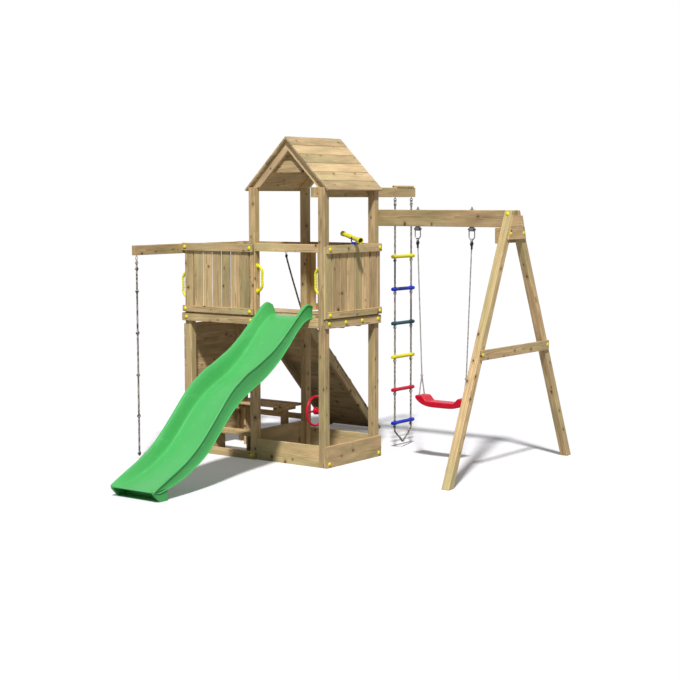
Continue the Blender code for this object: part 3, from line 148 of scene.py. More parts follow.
floorMesh = bpy.data.meshes.new("floor")
floorCorners = [(x * ground["half"], y * ground["half"], ground["z"]) for x, y in ((-1, -1), (1, -1), (1, 1), (-1, 1))]
floorMesh.from_pydata(floorCorners, [], [(0, 1, 2, 3)])
floor = addObject("floor", floorMesh)
floorLook, tree = startLook("paleFloor")
tree.nodes.remove(tree.nodes["Principled BSDF"])
glow = put(tree, "Emission", {"Color": white, "Strength": 1.0})
direct = put(tree, "LightPath").outputs["Is Camera Ray"]
pale = mulAdd(tree, direct, 1.0 - ground["bounce"], ground["bounce"])
tone = put(tree, "CombineColor", {0: pale, 1: pale, 2: mul(tree, pale, ground["blue"])}).outputs[0]
matt = put(tree, "BsdfDiffuse", {"Color": tone})
mixed = put(tree, "MixShader", {0: mul(tree, direct, ground["shadowLift"]), 1: matt.outputs[0], 2: glow.outputs[0]})
tree.links.new(mixed.outputs[0], tree.nodes["Material Output"].inputs["Surface"])
floorMesh.materials.append(floorLook)
print("camera, light and floor placed")


# Shared effects

sawn = {"ringPitch": 0.0062, "late": 0.95, "knotsPerMetre": 5.2, "knotSize": (0.045, 0.030), "noKnot": 0.30,
        "moss": 0.70}


def startGroup(name, **entries):
    group = bpy.data.node_groups.new(name, "ShaderNodeTree")
    for label, kind in entries.items():
        group.interface.new_socket(label, in_out="INPUT", socket_type="NodeSocket" + kind)
    for label, kind in {"Colour": "Color", "Roughness": "Float", "Height": "Float"}.items():
        group.interface.new_socket(label, in_out="OUTPUT", socket_type="NodeSocket" + kind)
    return group, group.nodes.new("NodeGroupInput").outputs, group.nodes.new("NodeGroupOutput").inputs


def endGroup(group, out, **results):
    for label, socket in results.items():
        group.links.new(socket, out[label])
    return group


def sawnGrain():
    # Rings are the distance from a pith line in the board's own coordinates, bent by noise and bulging round the
    # knots, which are cells in length and angle round the pith. Fibres are noise drawn out along the board.
    g, entry, out = startGroup("sawnGrain", Grain="Vector", Trim="Vector", Pale="Color", Ring="Color", Knot="Color",
                               Moss="Color")
    grain = entry["Grain"]
    place, trim = (put(g, "SeparateXYZ", {0: entry[label]}).outputs for label in ("Grain", "Trim"))
    bend = calc(g, "SUBTRACT", stretched(g, grain, (1.6, 9.0, 9.0), 3.0), 0.5)
    radius = calc(g, "SQRT", add(g, mul(g, place[1], place[1]), mul(g, place[2], place[2])))
    angle = calc(g, "ARCTAN2", place[2], place[1])
    spot = put(g, "CombineXYZ", {0: mul(g, place[0], sawn["knotsPerMetre"]), 1: mul(g, angle, 0.34)}).outputs[0]
    cells = put(g, "TexVoronoi", {"Vector": spot, "Scale": 1.0}, voronoi_dimensions="2D")
    lot = put(g, "SeparateColor", {0: cells.outputs["Color"]}).outputs
    edge = mulAdd(g, noise(g, grain, 90.0), 0.03, -0.015)
    nearness = calc(g, "DIVIDE", add(g, cells.outputs["Distance"], edge), mulAdd(g, lot[0], *sawn["knotSize"]))
    chosen = calc(g, "GREATER_THAN", lot[1], sawn["noKnot"])
    knot, halo = (mul(g, fade(g, nearness, far, close), chosen) for far, close in ((1.15, 0.75), (3.4, 1.0)))
    rings = add(g, mulAdd(g, bend, 0.020, radius), mul(g, halo, 0.006))
    late = calc(g, "POWER", calc(g, "FRACT", calc(g, "DIVIDE", rings, sawn["ringPitch"])), 2.2)
    fibre = stretched(g, grain, (9.0, 520.0, 520.0))
    patch = stretched(g, grain, (1.1, 5.0, 5.0))
    stain = stretched(g, grain, (3.0, 14.0, 14.0), 4.0, 0.6)
    colour = tinted(g, mul(g, late, sawn["late"]), entry["Pale"], entry["Ring"])
    colour = tinted(g, fade(g, patch, 0.40, 0.68, 0.0, sawn["moss"]), colour, entry["Moss"])
    colour = tinted(g, mul(g, halo, 0.55), colour, entry["Ring"])
    colour = tinted(g, mul(g, knot, 0.92), colour, entry["Knot"])
    level = add(g, mulAdd(g, trim[2], 0.42, 0.76), add(g, mulAdd(g, fibre, 0.40, -0.20), mulAdd(g, stain, 1.15, -0.56)))
    level = mul(g, level, mulAdd(g, trim[1], -0.22, 1.0))
    level = mul(g, level, mulAdd(g, trim[0], 0.10, 1.0))
    height = add(g, mul(g, fibre, 0.5), mul(g, late, 0.35))
    return endGroup(g, out, Colour=shaded(g, colour, level), Roughness=mulAdd(g, late, -0.12, 0.80),
                    Height=calc(g, "SUBTRACT", height, mul(g, knot, 0.3)))


def mouldedSkin():
    # Cloudy colour from broad noise, fine pebbling, and faint rubbed streaks that run along the drawn-out direction.
    g, entry, out = startGroup("mouldedSkin", Place="Vector", Streak="Vector", Colour="Color", Dust="Color",
                               Gloss="Float")
    place = entry["Place"]
    cloud, pebble = noise(g, place, 3.0, 3.0), noise(g, place, 420.0)
    rub = fade(g, stretched(g, place, entry["Streak"], 3.0, 0.6), 0.56, 0.74)
    colour = shaded(g, entry["Colour"], mulAdd(g, cloud, 0.22, 0.89))
    rough = add(g, entry["Gloss"], mul(g, rub, 0.16))
    return endGroup(g, out, Colour=tinted(g, mul(g, rub, 0.16), colour, entry["Dust"]),
                    Roughness=add(g, rough, mulAdd(g, cloud, 0.12, -0.06)),
                    Height=add(g, mul(g, pebble, 0.5), mul(g, rub, 0.4)))


grainGroup = sawnGrain()
skinGroup = mouldedSkin()


def finishLook(tree, made, distance, strength, **values):
    shader = tree.nodes["Principled BSDF"]
    tree.links.new(made["Colour"], shader.inputs["Base Color"])
    tree.links.new(made["Roughness"], shader.inputs["Roughness"])
    bump = put(tree, "Bump", {"Height": made["Height"], "Distance": distance, "Strength": strength})
    tree.links.new(bump.outputs[0], shader.inputs["Normal"])
    for label, value in values.items():
        shader.inputs[label.replace("_", " ")].default_value = value


def objectPlace(tree):
    return put(tree, "TexCoord").outputs["Object"]


def timberLook(name, **colours):
    look, tree = startLook(name)
    entries = {label: put(tree, "Attribute", attribute_name=label.lower()).outputs["Vector"]
               for label in ("Grain", "Trim")}
    entries.update({label: (*colour, 1.0) for label, colour in colours.items()})
    finishLook(tree, put(tree, "Group", entries, node_tree=grainGroup).outputs, 0.0006, 0.8)
    return look


def plasticLook(name, colour, gloss=0.34, dust=None, streak=(40.0, 40.0, 40.0)):
    look, tree = startLook(name)
    dust = dust or [0.75 * value + 0.10 for value in colour]
    entries = {"Place": objectPlace(tree), "Streak": streak, "Colour": (*colour, 1.0), "Dust": (*dust, 1.0),
               "Gloss": gloss}
    finishLook(tree, put(tree, "Group", entries, node_tree=skinGroup).outputs, 0.0002, 0.5, Specular_IOR_Level=0.30)
    return look


def metalLook(name, colour):
    # zinc bloom: small bright and dull patches over a fine brushed noise
    look, tree = startLook(name)
    place = objectPlace(tree)
    patch = put(tree, "TexVoronoi", {"Vector": place, "Scale": 260.0}).outputs["Color"]
    lot = put(tree, "SeparateColor", {0: patch}).outputs[0]
    cloud = noise(tree, place, 40.0, 3.0)
    level = add(tree, mulAdd(tree, lot, 0.25, 0.72), mul(tree, cloud, 0.2))
    made = {"Colour": shaded(tree, (*colour, 1.0), level), "Roughness": mulAdd(tree, lot, 0.2, 0.30), "Height": cloud}
    finishLook(tree, made, 0.0001, 0.4, Metallic=1.0)
    return look


def ropeLook(name, colour, yarnAndGrooveShade, fleck):
    # strands: a point attribute is 1 in the grooves between strands, and there the second colour is mixed in as painted
    # shade; the same colour makes the flecks of dark yarns, and fine noise the fibres
    look, tree = startLook(name)
    place = objectPlace(tree)
    tint = put(tree, "Attribute", attribute_name="tint").outputs["Fac"]
    fibre = noise(tree, place, 900.0)
    patch = fade(tree, noise(tree, place, fleck, 1.0), 0.44, 0.56)
    # painted shade: up to 0.45 of the dark colour in the grooves, on top of the dark yarn flecks
    share = add(tree, mul(tree, tint, 0.45), mul(tree, patch, 0.75))
    yarn = tinted(tree, fade(tree, share, 0.0, 1.0), (*colour, 1.0), (*yarnAndGrooveShade, 1.0))
    made = {"Colour": shaded(tree, yarn, mulAdd(tree, fibre, 0.7, 0.65)), "Roughness": mulAdd(tree, fibre, 0.15, 0.78),
            "Height": fibre}
    finishLook(tree, made, 0.0004, 0.7)
    return look


# each look with the name of its slot
looks = {
    "timber": ("timber", timberLook("timber", Pale=(0.70, 0.505, 0.272), Ring=(0.37, 0.225, 0.095),
                                    Knot=(0.10, 0.048, 0.022), Moss=(0.47, 0.41, 0.19))),
    "roofTimber": ("roof_timber", timberLook("roofTimber", Pale=(0.80, 0.590, 0.340), Ring=(0.50, 0.325, 0.150),
                                             Knot=(0.15, 0.075, 0.035), Moss=(0.55, 0.46, 0.235))),
    "green": ("green_plastic", plasticLook("greenPlastic", (0.082, 0.465, 0.128), 0.30, (0.30, 0.66, 0.34),
                                           (30.0, 4.0, 30.0))),
    "yellow": ("yellow_plastic", plasticLook("yellowPlastic", (0.88, 0.80, 0.02))),
    "red": ("red_plastic", plasticLook("redPlastic", (0.62, 0.004, 0.030))),
    "blue": ("blue_plastic", plasticLook("bluePlastic", (0.006, 0.030, 0.60))),
    "teal": ("teal_plastic", plasticLook("tealPlastic", (0.010, 0.085, 0.13))),
    "black": ("teal_plastic", plasticLook("blackPlastic", (0.02, 0.02, 0.022), 0.4)),
    "zinc": ("zinc_steel", metalLook("zincSteel", (0.72, 0.73, 0.75))),
    "steel": ("zinc_steel", metalLook("darkSteel", (0.30, 0.30, 0.31))),
    # each rope's second colour gives its dark yarns and the painted shade in its grooves
    "darkRope": ("grey_rope", ropeLook("greyRope", (0.54, 0.50, 0.42), (0.025, 0.022, 0.020), 78.0)),
    "paleRope": ("pale_rope", ropeLook("paleRope", (0.50, 0.48, 0.45), (0.27, 0.26, 0.24), 60.0)),
}
print("materials made")


# Shapes: each is a dictionary of points, faces and one value a point, the share of painted shade that the rope look
# puts on it

def facing(points, faces, tint=None):
    # turns every face round if the signed volume under them is negative
    points = np.asarray(points, float).reshape(-1, 3)
    volume = 0.0
    for size in {len(face) for face in faces}:
        index = np.array([face for face in faces if len(face) == size])
        for k in range(1, size - 1):
            a, b, c = points[index[:, 0]], points[index[:, k]], points[index[:, k + 1]]
            volume += np.einsum("ij,ij->i", a, np.cross(b, c)).sum()
    if volume < 0:
        faces = [face[::-1] for face in faces]
    return {"points": points, "faces": faces, "tint": np.zeros(len(points)) if tint is None else np.ravel(tint)}


def together(*shapes):
    points, grooveShades = (np.concatenate([shape[key] for shape in shapes]) for key in ("points", "tint"))
    faces, start = [], 0
    for shape in shapes:
        faces += [[i + start for i in face] for face in shape["faces"]]
        start += len(shape["points"])
    return {"points": points, "faces": faces, "tint": grooveShades}


def gridFaces(rows, columns):
    # quads between neighbouring rows of a grid whose columns close on themselves
    i, j = np.meshgrid(np.arange(rows - 1), np.arange(columns), indexing="ij")
    here, there = i * columns, (i + 1) * columns
    k = (j + 1) % columns
    return np.stack([here + j, here + k, there + k, there + j], -1).reshape(-1, 4).tolist()


def tubeFaces(rows, columns):
    # the grid and one face over each end
    last = (rows - 1) * columns
    return gridFaces(rows, columns) + [list(range(columns))[::-1], [last + j for j in range(columns)]]


def poleFaces(rows, columns, order=-1):
    # the grid and a fan to a pole at each end; the two poles follow the grid's points
    # an order of 1 winds both fans the other way round
    pole, last = rows * columns, (rows - 1) * columns
    pairs = [(j, (j + 1) % columns)[::order] for j in range(columns)]
    fans = [[pole, a, b] for a, b in pairs] + [[pole + 1, last + b, last + a] for a, b in pairs]
    return gridFaces(rows, columns) + fans


def turnOf(count):
    # even angles of one full turn
    return np.linspace(0.0, 2 * np.pi, count, endpoint=False)


def walked(path):
    # the length walked to each point of a path
    return np.concatenate([[0.0], np.cumsum(np.linalg.norm(np.diff(path, axis=0), axis=1))])


def axes(direction, hint=None):
    # three unit vectors, right-handed, the last one along the direction
    w = np.asarray(direction, float)
    w = w / np.linalg.norm(w)
    if hint is None:
        hint = xAxis if abs(w[0]) < 0.7 else zAxis
    v = np.cross(w, hint)
    v /= np.linalg.norm(v)
    return np.cross(v, w), v, w


def turned(profile, foot, axis=zAxis, steps=28):
    # a profile of radius and height, from pole to pole, turned about the axis at foot
    profile = np.asarray(profile, float)
    u, v, w = axes(axis)
    angle = turnOf(steps)
    spin = np.cos(angle)[:, None] * u + np.sin(angle)[:, None] * v
    inner = profile[1:-1]
    rings = np.asarray(foot) + inner[:, 0, None, None] * spin + inner[:, 1, None, None] * w
    points = np.concatenate([rings.reshape(-1, 3), [foot + profile[0, 1] * w, foot + profile[-1, 1] * w]])
    return facing(points, poleFaces(len(inner), steps))


def smoothPath(route, step):
    # even points on a Catmull-Rom curve through the route
    route = np.asarray(route, float)
    ends = np.concatenate([[2 * route[0] - route[1]], route, [2 * route[-1] - route[-2]]])
    a, b, c, d = ends[:-3, None], ends[1:-2, None], ends[2:-1, None], ends[3:, None]
    t = np.linspace(0.0, 1.0, 40, endpoint=False)[None, :, None]
    fine = 0.5 * (2 * b + (c - a) * t + (2 * a - 5 * b + 4 * c - d) * t ** 2 + (3 * b - a - 3 * c + d) * t ** 3)
    fine = np.concatenate([fine.reshape(-1, 3), route[-1:]])
    along = walked(fine)
    at = np.linspace(0.0, along[-1], max(3, int(round(along[-1] / step)) + 1))
    return np.stack([np.interp(at, along, fine[:, k]) for k in range(3)], -1)


def carried(path, hint=None):
    # frames that turn as little as they can along a path
    tangent = np.gradient(path, axis=0)
    tangent /= np.linalg.norm(tangent, axis=1)[:, None]
    u = axes(tangent[0], hint)[0]
    first = []
    for w in tangent:
        u = u - w * u.dot(w)
        u = u / np.linalg.norm(u)
        first.append(u)
    return np.array(first), np.cross(tangent, first)


def swept(path, section, hint=None, tint=None):
    # a section of points across, one for each row or the same for all, carried along a path with closed ends
    path = np.asarray(path, float)
    u, v = carried(path, hint)
    section = np.broadcast_to(section, (len(path),) + np.shape(section)[-2:])
    points = path[:, None] + section[..., :1] * u[:, None] + section[..., 1:] * v[:, None]
    return facing(points, tubeFaces(*section.shape[:2]), tint)


def roundSection(radius, sides=16, flat=1.0):
    angle = turnOf(sides)
    return np.stack([radius * np.cos(angle), radius * flat * np.sin(angle)], -1)


def softBox(halfWide, halfTall, power, sides):
    # an oblong with round corners: cosine and sine raised to a power below one, each keeping its sign
    angle = turnOf(sides)
    waves = ((halfWide, np.cos(angle)), (halfTall, np.sin(angle)))
    return np.stack([half * np.sign(wave) * np.abs(wave) ** power for half, wave in waves], -1)


def rope(route, radius, step=0.004, sides=15):
    # three strands: the radius swells three times round, and the swelling turns with the length
    path = smoothPath(route, step)
    angle = turnOf(sides)[None]
    lobe = np.cos(3 * (angle - 2 * np.pi * walked(path)[:, None] / (7.0 * radius)))
    reach = radius * (0.91 + 0.09 * lobe)
    reach[[0, -1]] *= 0.6
    # the last value is 1 in the grooves between strands, where the rope look paints shade
    return swept(path, np.stack([reach * np.cos(angle), reach * np.sin(angle)], -1), tint=(1.0 - lobe) / 2)


def knot(place, radius, tall=1.0, turn=0.0):
    # a lump of crossing strands: a sphere whose radius waves along two slanting directions
    rows, steps = 13, 20
    polar = np.linspace(0.0, np.pi, rows + 2)[1:-1, None]
    angle = turnOf(steps)[None] + turn
    wave = np.cos(3 * angle + 4 * polar) * np.sin(polar) + 0.6 * np.cos(2 * angle - 5 * polar) * np.sin(polar)
    reach = radius * (0.90 + 0.09 * wave)
    across = reach * np.sin(polar)
    points = np.stack([across * np.cos(angle), across * np.sin(angle), reach * np.cos(polar) * tall], -1).reshape(-1, 3)
    pole = 0.9 * radius * tall * zAxis
    points = np.concatenate([points, [pole, -pole]]) + np.asarray(place)
    # the last value rises in the knot's hollows, where the rope look paints shade
    return facing(points, poleFaces(rows, steps, 1), np.concatenate([((1.0 - wave) / 3).ravel(), [0.3, 0.3]]))


def ring(place, radius, wire, axis, around=36, sides=12):
    # a round bar closed on itself about the axis
    u, v, w = axes(axis)
    a, b = turnOf(around)[:, None, None], turnOf(sides)[None, :, None]
    points = np.asarray(place) + (np.cos(a) * u + np.sin(a) * v) * (radius + wire * np.cos(b)) + w * wire * np.sin(b)
    i, j = np.meshgrid(np.arange(around), np.arange(sides), indexing="ij")
    there, k = (i + 1) % around * sides, (j + 1) % sides
    faces = np.stack([i * sides + j, there + j, there + k, i * sides + k], -1).reshape(-1, 4)
    return facing(points, faces.tolist())


def addPiece(name, shape, look, body="play_frame", stands=(), angle=32.0):
    mesh = bpy.data.meshes.new(name)
    mesh.from_pydata(shape["points"].tolist(), [], shape["faces"])
    # each point's share of painted shade, which only the rope look reads
    mesh.attributes.new("tint", "FLOAT", "POINT").data.foreach_set("value", shape["tint"].astype(np.float32))
    for label, domain in (("grain", "POINT"), ("trim", "FACE")):
        if label in shape:
            values = shape[label].astype(np.float32).ravel()
            mesh.attributes.new(label, "FLOAT_VECTOR", domain).data.foreach_set("vector", values)
    if angle:
        mesh.shade_smooth()
        mesh.set_sharp_from_angle(angle=math.radians(angle))
    slot, material = looks[look]
    mesh.materials.append(material)
    piece = addObject(name, mesh)
    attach(piece, body)
    if stands:
        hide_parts(*stands)
    return piece


def addNode(node, shape, look, body="play_frame", angle=32.0):
    # a piece that stands for one node and is named for it
    first, *rest = node.split("_")
    return addPiece(first + "".join(word.capitalize() for word in rest), shape, look, body, (node,), angle)


# Sawn timber: bars with eased edges, each with its own place in a log

timber = {"ease": 0.0025, "postEase": 0.004, "pithNear": 0.012, "pithFar": 0.05, "logLong": 400}


def bar(centre, along, across, size, skew=(0.0, 0.0), heart=False):
    return {"centre": centre, "along": along, "across": across, "size": size, "skew": skew, "heart": heart}


def boxBar(low, high, heart=False):
    low, high = np.asarray(low, float), np.asarray(high, float)
    order = np.argsort(high - low)[::-1]
    along, across = np.eye(3)[order[:2]]
    return bar((low + high) / 2, along, across, (high - low)[order], heart=heart)


def trimOf(rows, tones):
    # for each face: 1 on an eased edge, 1 on a sawn end, and the bar's own tone
    index = np.arange(8 * rows - 2)
    ends = index >= 8 * (rows - 1)
    eased = ~ends & (np.isin(index // 8, (0, rows - 2)) | (index % 2 == 0))
    return np.stack([np.tile(eased, len(tones)), np.tile(ends, len(tones)), np.repeat(tones, len(index))], -1)


def barShape(bars, ease):
    # Four eight-cornered outlines along each bar, the end ones drawn in by the eased edge. A skew slides the ends
    # along the bar in step with the distance across it. The grain attribute is the place in the log.
    centre, along, across, size, skew = (np.array([item[key] for item in bars], float)[:, None]
                                         for key in ("centre", "along", "across", "size", "skew"))
    count = len(bars)
    long, wide, thick = (size[..., k] for k in range(3))
    signs = np.array([(1, 1), (1, 1), (-1, 1), (-1, 1), (-1, -1), (-1, -1), (1, -1), (1, -1)], float)
    cutY = np.array([0, 1, 1, 0, 0, 1, 1, 0], float)
    ease = np.minimum(ease, thick * 0.2)
    rows = []
    for inset, step, end in ((0.7, 0.0, 0), (0.0, 0.7, 0), (0.0, 0.7, 1), (0.7, 0.0, 1)):
        y = signs[:, 0] * (wide / 2 - inset * ease - cutY * ease * (1 - 0.5 * inset))
        z = signs[:, 1] * (thick / 2 - inset * ease - (1 - cutY) * ease * (1 - 0.5 * inset))
        x = (2 * end - 1) * (long / 2 - step * ease) + skew[..., end] * y
        rows.append(np.stack([x, y, z], -1))
    local = np.concatenate(rows, 1)
    points = centre + local[..., :1] * along + local[..., 1:2] * across + local[..., 2:] * np.cross(along, across)
    ends = [[0, 3, 2, 1], [0, 7, 4, 3], [4, 7, 6, 5], [24, 25, 26, 27], [24, 27, 28, 31], [28, 29, 30, 31]]
    faces = np.array(gridFaces(4, 8) + ends)[None] + 32 * np.arange(count)[:, None, None]
    trim = trimOf(4, [dice.uniform() for _ in bars])
    heart = np.array([item["heart"] for item in bars])[:, None]
    near, far = timber["pithNear"], timber["pithFar"]
    side = dice.choice([-1.0, 1.0], (count, 1))
    pithY = np.where(heart, dice.uniform(-near, near, (count, 1)), dice.uniform(-0.4, 0.4, (count, 1)) * wide)
    pithZ = np.where(heart, dice.uniform(-near, near, (count, 1)),
                     side * (thick / 2 + dice.uniform(near, far, (count, 1))))
    lean = dice.uniform(-0.012, 0.012, (count, 2, 1))
    grain = local.copy()
    grain[..., 1] += lean[:, 0] * local[..., 0] - pithY
    grain[..., 2] += lean[:, 1] * local[..., 0] - pithZ
    grain[..., 0] += dice.uniform(0, timber["logLong"], (count, 1))
    return {"points": points.reshape(-1, 3), "faces": faces.reshape(-1, 4).tolist(), "tint": np.zeros(count * 32),
            "grain": grain, "trim": trim}


def addTimber(node, bars, look="timber", ease=timber["ease"]):
    addNode(node, barShape(bars, ease), look, angle=0)


tower = {"gap": 0.0003, "post": 0.070, "middle": -0.775, "left": -1.546, "deep": 0.7356, "thick": 0.022,
         "postTop": 2.428}
gap, half, skin = tower["gap"], tower["post"] / 2, tower["thick"]
leftX, middleX, deepY = tower["left"], tower["middle"], tower["deep"]
front, back, leftSide, rightSide = -half, deepY + half, leftX - half, half
middleLeft, middleRight = middleX - half, middleX + half
out = gap + skin
screws, caps = [], []

for node in ("post_front_right", "post_front_middle", "post_front_left", "post_back_right", "post_back_middle",
             "post_back_left", "ladder_beam", "swing_beam"):
    addTimber(node, [boxBar(*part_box(node), heart=True)], ease=timber["postEase"])
for node in ("slide_beam", "sandbox_board_front", "sandbox_board_middle", "base_rail_front", "stretcher_back",
             "frame_plate_inner"):
    addTimber(node, [boxBar(*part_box(node))])

deck = {"top": 1.290, "thick": 0.018, "frame": (1.214, 1.286), "perBay": 6, "gap": 0.006, "joists": (0.2422, 0.4844),
        "joistHalf": 0.0175, "joistTall": 0.0694, "joistShort": 0.003, "lap": 0.008, "sandbox": 0.190}
z0, z1 = deck["frame"]
lapped = back + deck["lap"]
addTimber("deck_frame", [
    boxBar((leftSide - out, front - out, z0), (middleRight, front - gap, z1)),
    boxBar((leftSide - out, front - gap, z0), (leftSide - gap, back + gap, z1)),
    boxBar((leftSide - out, back + gap, z0), (rightSide + gap, back + out, z1)),
    boxBar((rightSide + gap, front, z0), (rightSide + out, lapped, z1))])
addTimber("sandbox_boards_outer", [
    boxBar((rightSide + gap, front, 0.0), (rightSide + out, lapped, deck["sandbox"])),
    boxBar((middleLeft, back + gap, 0.0), (rightSide + gap, back + out, deck["sandbox"]))])
frontBoard = boxBar((middleRight + gap, front, z0), (-half - gap, front + skin, z1))
z1 = deck["top"]
z0 = z1 - deck["thick"]
boards = [boxBar((x - half, half + gap, z0), (x + half, deepY - half - gap, z1)) for x in (0.0, middleX, leftX)]
for low, high, start in ((leftX + half, middleLeft, front), (middleRight, -half, front + out)):
    pitch = (high - low - deck["gap"]) / deck["perBay"]
    for x in low + deck["gap"] + pitch * np.arange(deck["perBay"]):
        boards.append(boxBar((x, start, z0), (x + pitch - deck["gap"], back, z1)))
        screws += [((x + share * pitch, y, z1), zAxis) for y in deck["joists"] for share in (0.25, 0.7)]
for y in deck["joists"]:
    boards.append(boxBar((leftSide + deck["joistShort"], y - deck["joistHalf"], z0 - deck["joistTall"]),
                         (rightSide - deck["joistShort"], y + deck["joistHalf"], z0)))
addTimber("deck_floor", boards + [frontBoard])
print("posts and deck built")


# Railings

rail = {"z": (1.296, 1.915), "low": (1.300, 1.357), "top": (1.859, 1.929), "entry": (1.855, 1.925), "board": 0.098,
        "skin": 0.015, "least": 0.012}
near = gap + rail["skin"]
outerRail = near + skin


def uprights(start, stop, space):
    edges = np.arange(start, stop - rail["least"], rail["board"] + space)
    return [(a, min(a + rail["board"], stop)) for a in edges]


def railing(node, along, places, side, outward, ends):
    # boards on the post faces and two rails over them; along is 0 for X and 1 for Y
    across = 1 - along

    def spot(a, b, z):
        made = np.zeros(3)
        made[[along, across, 2]] = a, side + outward * b, z
        return made

    def block(*spans):
        corners = np.array([spot(*(span[k] for span in spans)) for k in (0, 1)])
        return boxBar(corners.min(0), corners.max(0))

    bars = [block(place, (gap, near), rail["z"]) for place in places]
    for z in (rail["low"], rail["top"]):
        bars.append(block(ends, (near, outerRail), z))
        for a, b in places:
            for share, lift in ((0.3, 0.008), (0.7, -0.008)):
                screws.append((spot(a + share * (b - a), outerRail, sum(z) / 2 + lift), outward * np.eye(3)[across]))
    addTimber(node, bars)


railing("railing_front", 0, uprights(leftSide + 0.017, middleRight - 0.013, 0.013), front, -1, (leftSide, middleRight))
railing("railing_right", 1, uprights(front - 0.015, back, 0.013), rightSide, 1, (front, back))
railing("railing_back", 0, uprights(middleLeft + 0.025, rightSide, 0.026), back, 1, (middleLeft, rightSide))
z0, z1 = rail["entry"]
addTimber("entry_bar_back", [boxBar((leftSide, back + gap, z0), (middleLeft - gap, back + out, z1))])
print("railings built")


# Roof

roof = {"ridge": 2.869, "eave": 2.408, "overhang": 0.080, "boards": 6, "thick": 0.018, "gap": 0.003,
        "rafter": (0.035, 0.070), "collar": (2.556, 2.655), "collarThick": 0.020, "uneven": 0.007}
ridgeX = middleX / 2
run, rise = roof["overhang"] - ridgeX, roof["ridge"] - roof["eave"]
slope = math.atan2(rise, run)
cosine, sine, tangent = math.cos(slope), math.sin(slope), math.tan(slope)
pitch = (math.hypot(run, rise) + roof["gap"]) / roof["boards"]
footZ = tower["postTop"] + gap
ridge = np.array([ridgeX, 0.0, roof["ridge"]])
thick, deep = roof["rafter"]
depth = roof["thick"] + deep / 2
first = (gap + depth * sine) / cosine
last = (roof["ridge"] - footZ - depth * cosine) / sine
for side, node in ((1, "roof_right"), (-1, "roof_left")):
    down, up = np.array([side * cosine, 0.0, -sine]), np.array([side * sine, 0.0, cosine])
    bars = []
    for i in range(roof["boards"]):
        start = i * pitch + (roof["thick"] + gap if i == 0 and side < 0 else 0.0)
        end = (i + 1) * pitch - roof["gap"]
        short = dice.uniform(0.0, roof["uneven"])
        centre = ridge + down * (start + end) / 2 - up * roof["thick"] / 2 + yAxis * (front + back - short) / 2
        bars.append(bar(centre, yAxis, down, (back - front - short, end - start, roof["thick"])))
        screws += [(ridge + down * (start + share * (end - start)) + yAxis * y, up)
                   for y in (thick / 2, deepY - thick / 2) for share in (0.25, 0.75)]
    for y in (thick / 2, deepY - thick / 2):
        centre = ridge + down * (first + last) / 2 - up * depth + yAxis * y
        bars.append(bar(centre, down, up, (last - first, deep, thick), skew=(-tangent, 1 / tangent)))
    addTimber(node, bars, "roofTimber")
z0, z1 = roof["collar"]
wide = 2 * ((roof["ridge"] - (z0 + z1) / 2) / tangent - (roof["thick"] + gap) / sine)
inner = thick + gap + roof["collarThick"] / 2
for node, y in (("collar_tie_front", inner), ("collar_tie_back", deepY - inner)):
    addTimber(node, [bar(np.array([ridgeX, y, (z0 + z1) / 2]), xAxis, zAxis, (wide, z1 - z0, roof["collarThick"]),
                         skew=(1 / tangent, -1 / tangent))])
print("roof built")


# Rope beam and its hooks

hooks = {"ring": 0.013, "wire": 0.004, "drop": 0.026, "washer": (0.009, 0.002), "beamX": -1.6013, "beamHalf": 0.020,
         "beamFront": -0.680, "beam": (1.832, 1.920), "ropeY": -0.640, "pullX": -1.040, "pullZ": 1.855}
beamX, pullX, (beamLow, beamTop) = hooks["beamX"], hooks["pullX"], hooks["beam"]


def hook(x, y, z):
    # an eye and its threaded shank with a washer, under a face at z
    ringZ, (flange, thick) = z - hooks["drop"], hooks["washer"]
    long = hooks["drop"] - hooks["ring"]
    shank = [(0, 0), (hooks["wire"], 0), (hooks["wire"], long - thick), (flange, long - thick), (flange, long),
             (0, long)]
    return together(ring((x, y, ringZ), hooks["ring"], hooks["wire"], xAxis),
                    turned(shank, (x, y, ringZ + hooks["ring"]), steps=16))


def ropeTop(z):
    # where a rope starts: under the ring of a hook in a face at z
    return z - hooks["drop"] - hooks["ring"] - hooks["wire"] - gap


addTimber("rope_beam", [boxBar((beamX - hooks["beamHalf"], hooks["beamFront"], beamLow),
                               (beamX + hooks["beamHalf"], back, beamTop), heart=True)], ease=timber["postEase"])
addPiece("ropeBeamHook", hook(beamX, hooks["ropeY"], beamLow), "zinc")
addPiece("entryBarHook", hook(pullX, back + out / 2, hooks["pullZ"]), "zinc")


# Climbing wall and ramp with their grips

grip = {"radius": 0.042, "tall": 0.034, "steps": 26,
        "profile": ((1.0, 0.0), (1.0, 0.25), (0.94, 0.55), (0.80, 0.80), (0.60, 0.95), (0.40, 1.0), (0.26, 0.98),
                    (0.20, 0.90), (0.20, 0.72))}
gripLooks = ("red", "yellow", "blue", "green")
gripShapes = {look: [] for look in gripLooks}


def gripShape(place, normal, seed):
    # radius waves with the angle and falls off with height, and the crown leans to one side round a bolt hole
    u, v, w = axes(normal)
    rows = np.array(grip["profile"])
    angle = turnOf(grip["steps"])
    wave = 1.0 + (0.13 * np.cos(2 * angle + seed) + 0.07 * np.cos(3 * angle + 2.1 * seed)) * rows[:, :1]
    reach = grip["radius"] * 0.86 * rows[:, :1] * wave
    height = grip["tall"] * rows[:, 1:] * (1.0 - 0.11 * (1.0 + np.cos(angle + seed)) * rows[:, :1])
    spin = np.cos(angle)[:, None] * u + np.sin(angle)[:, None] * v
    points = np.asarray(place) + reach[..., None] * spin + height[..., None] * w
    return facing(points, tubeFaces(len(rows), grip["steps"]))


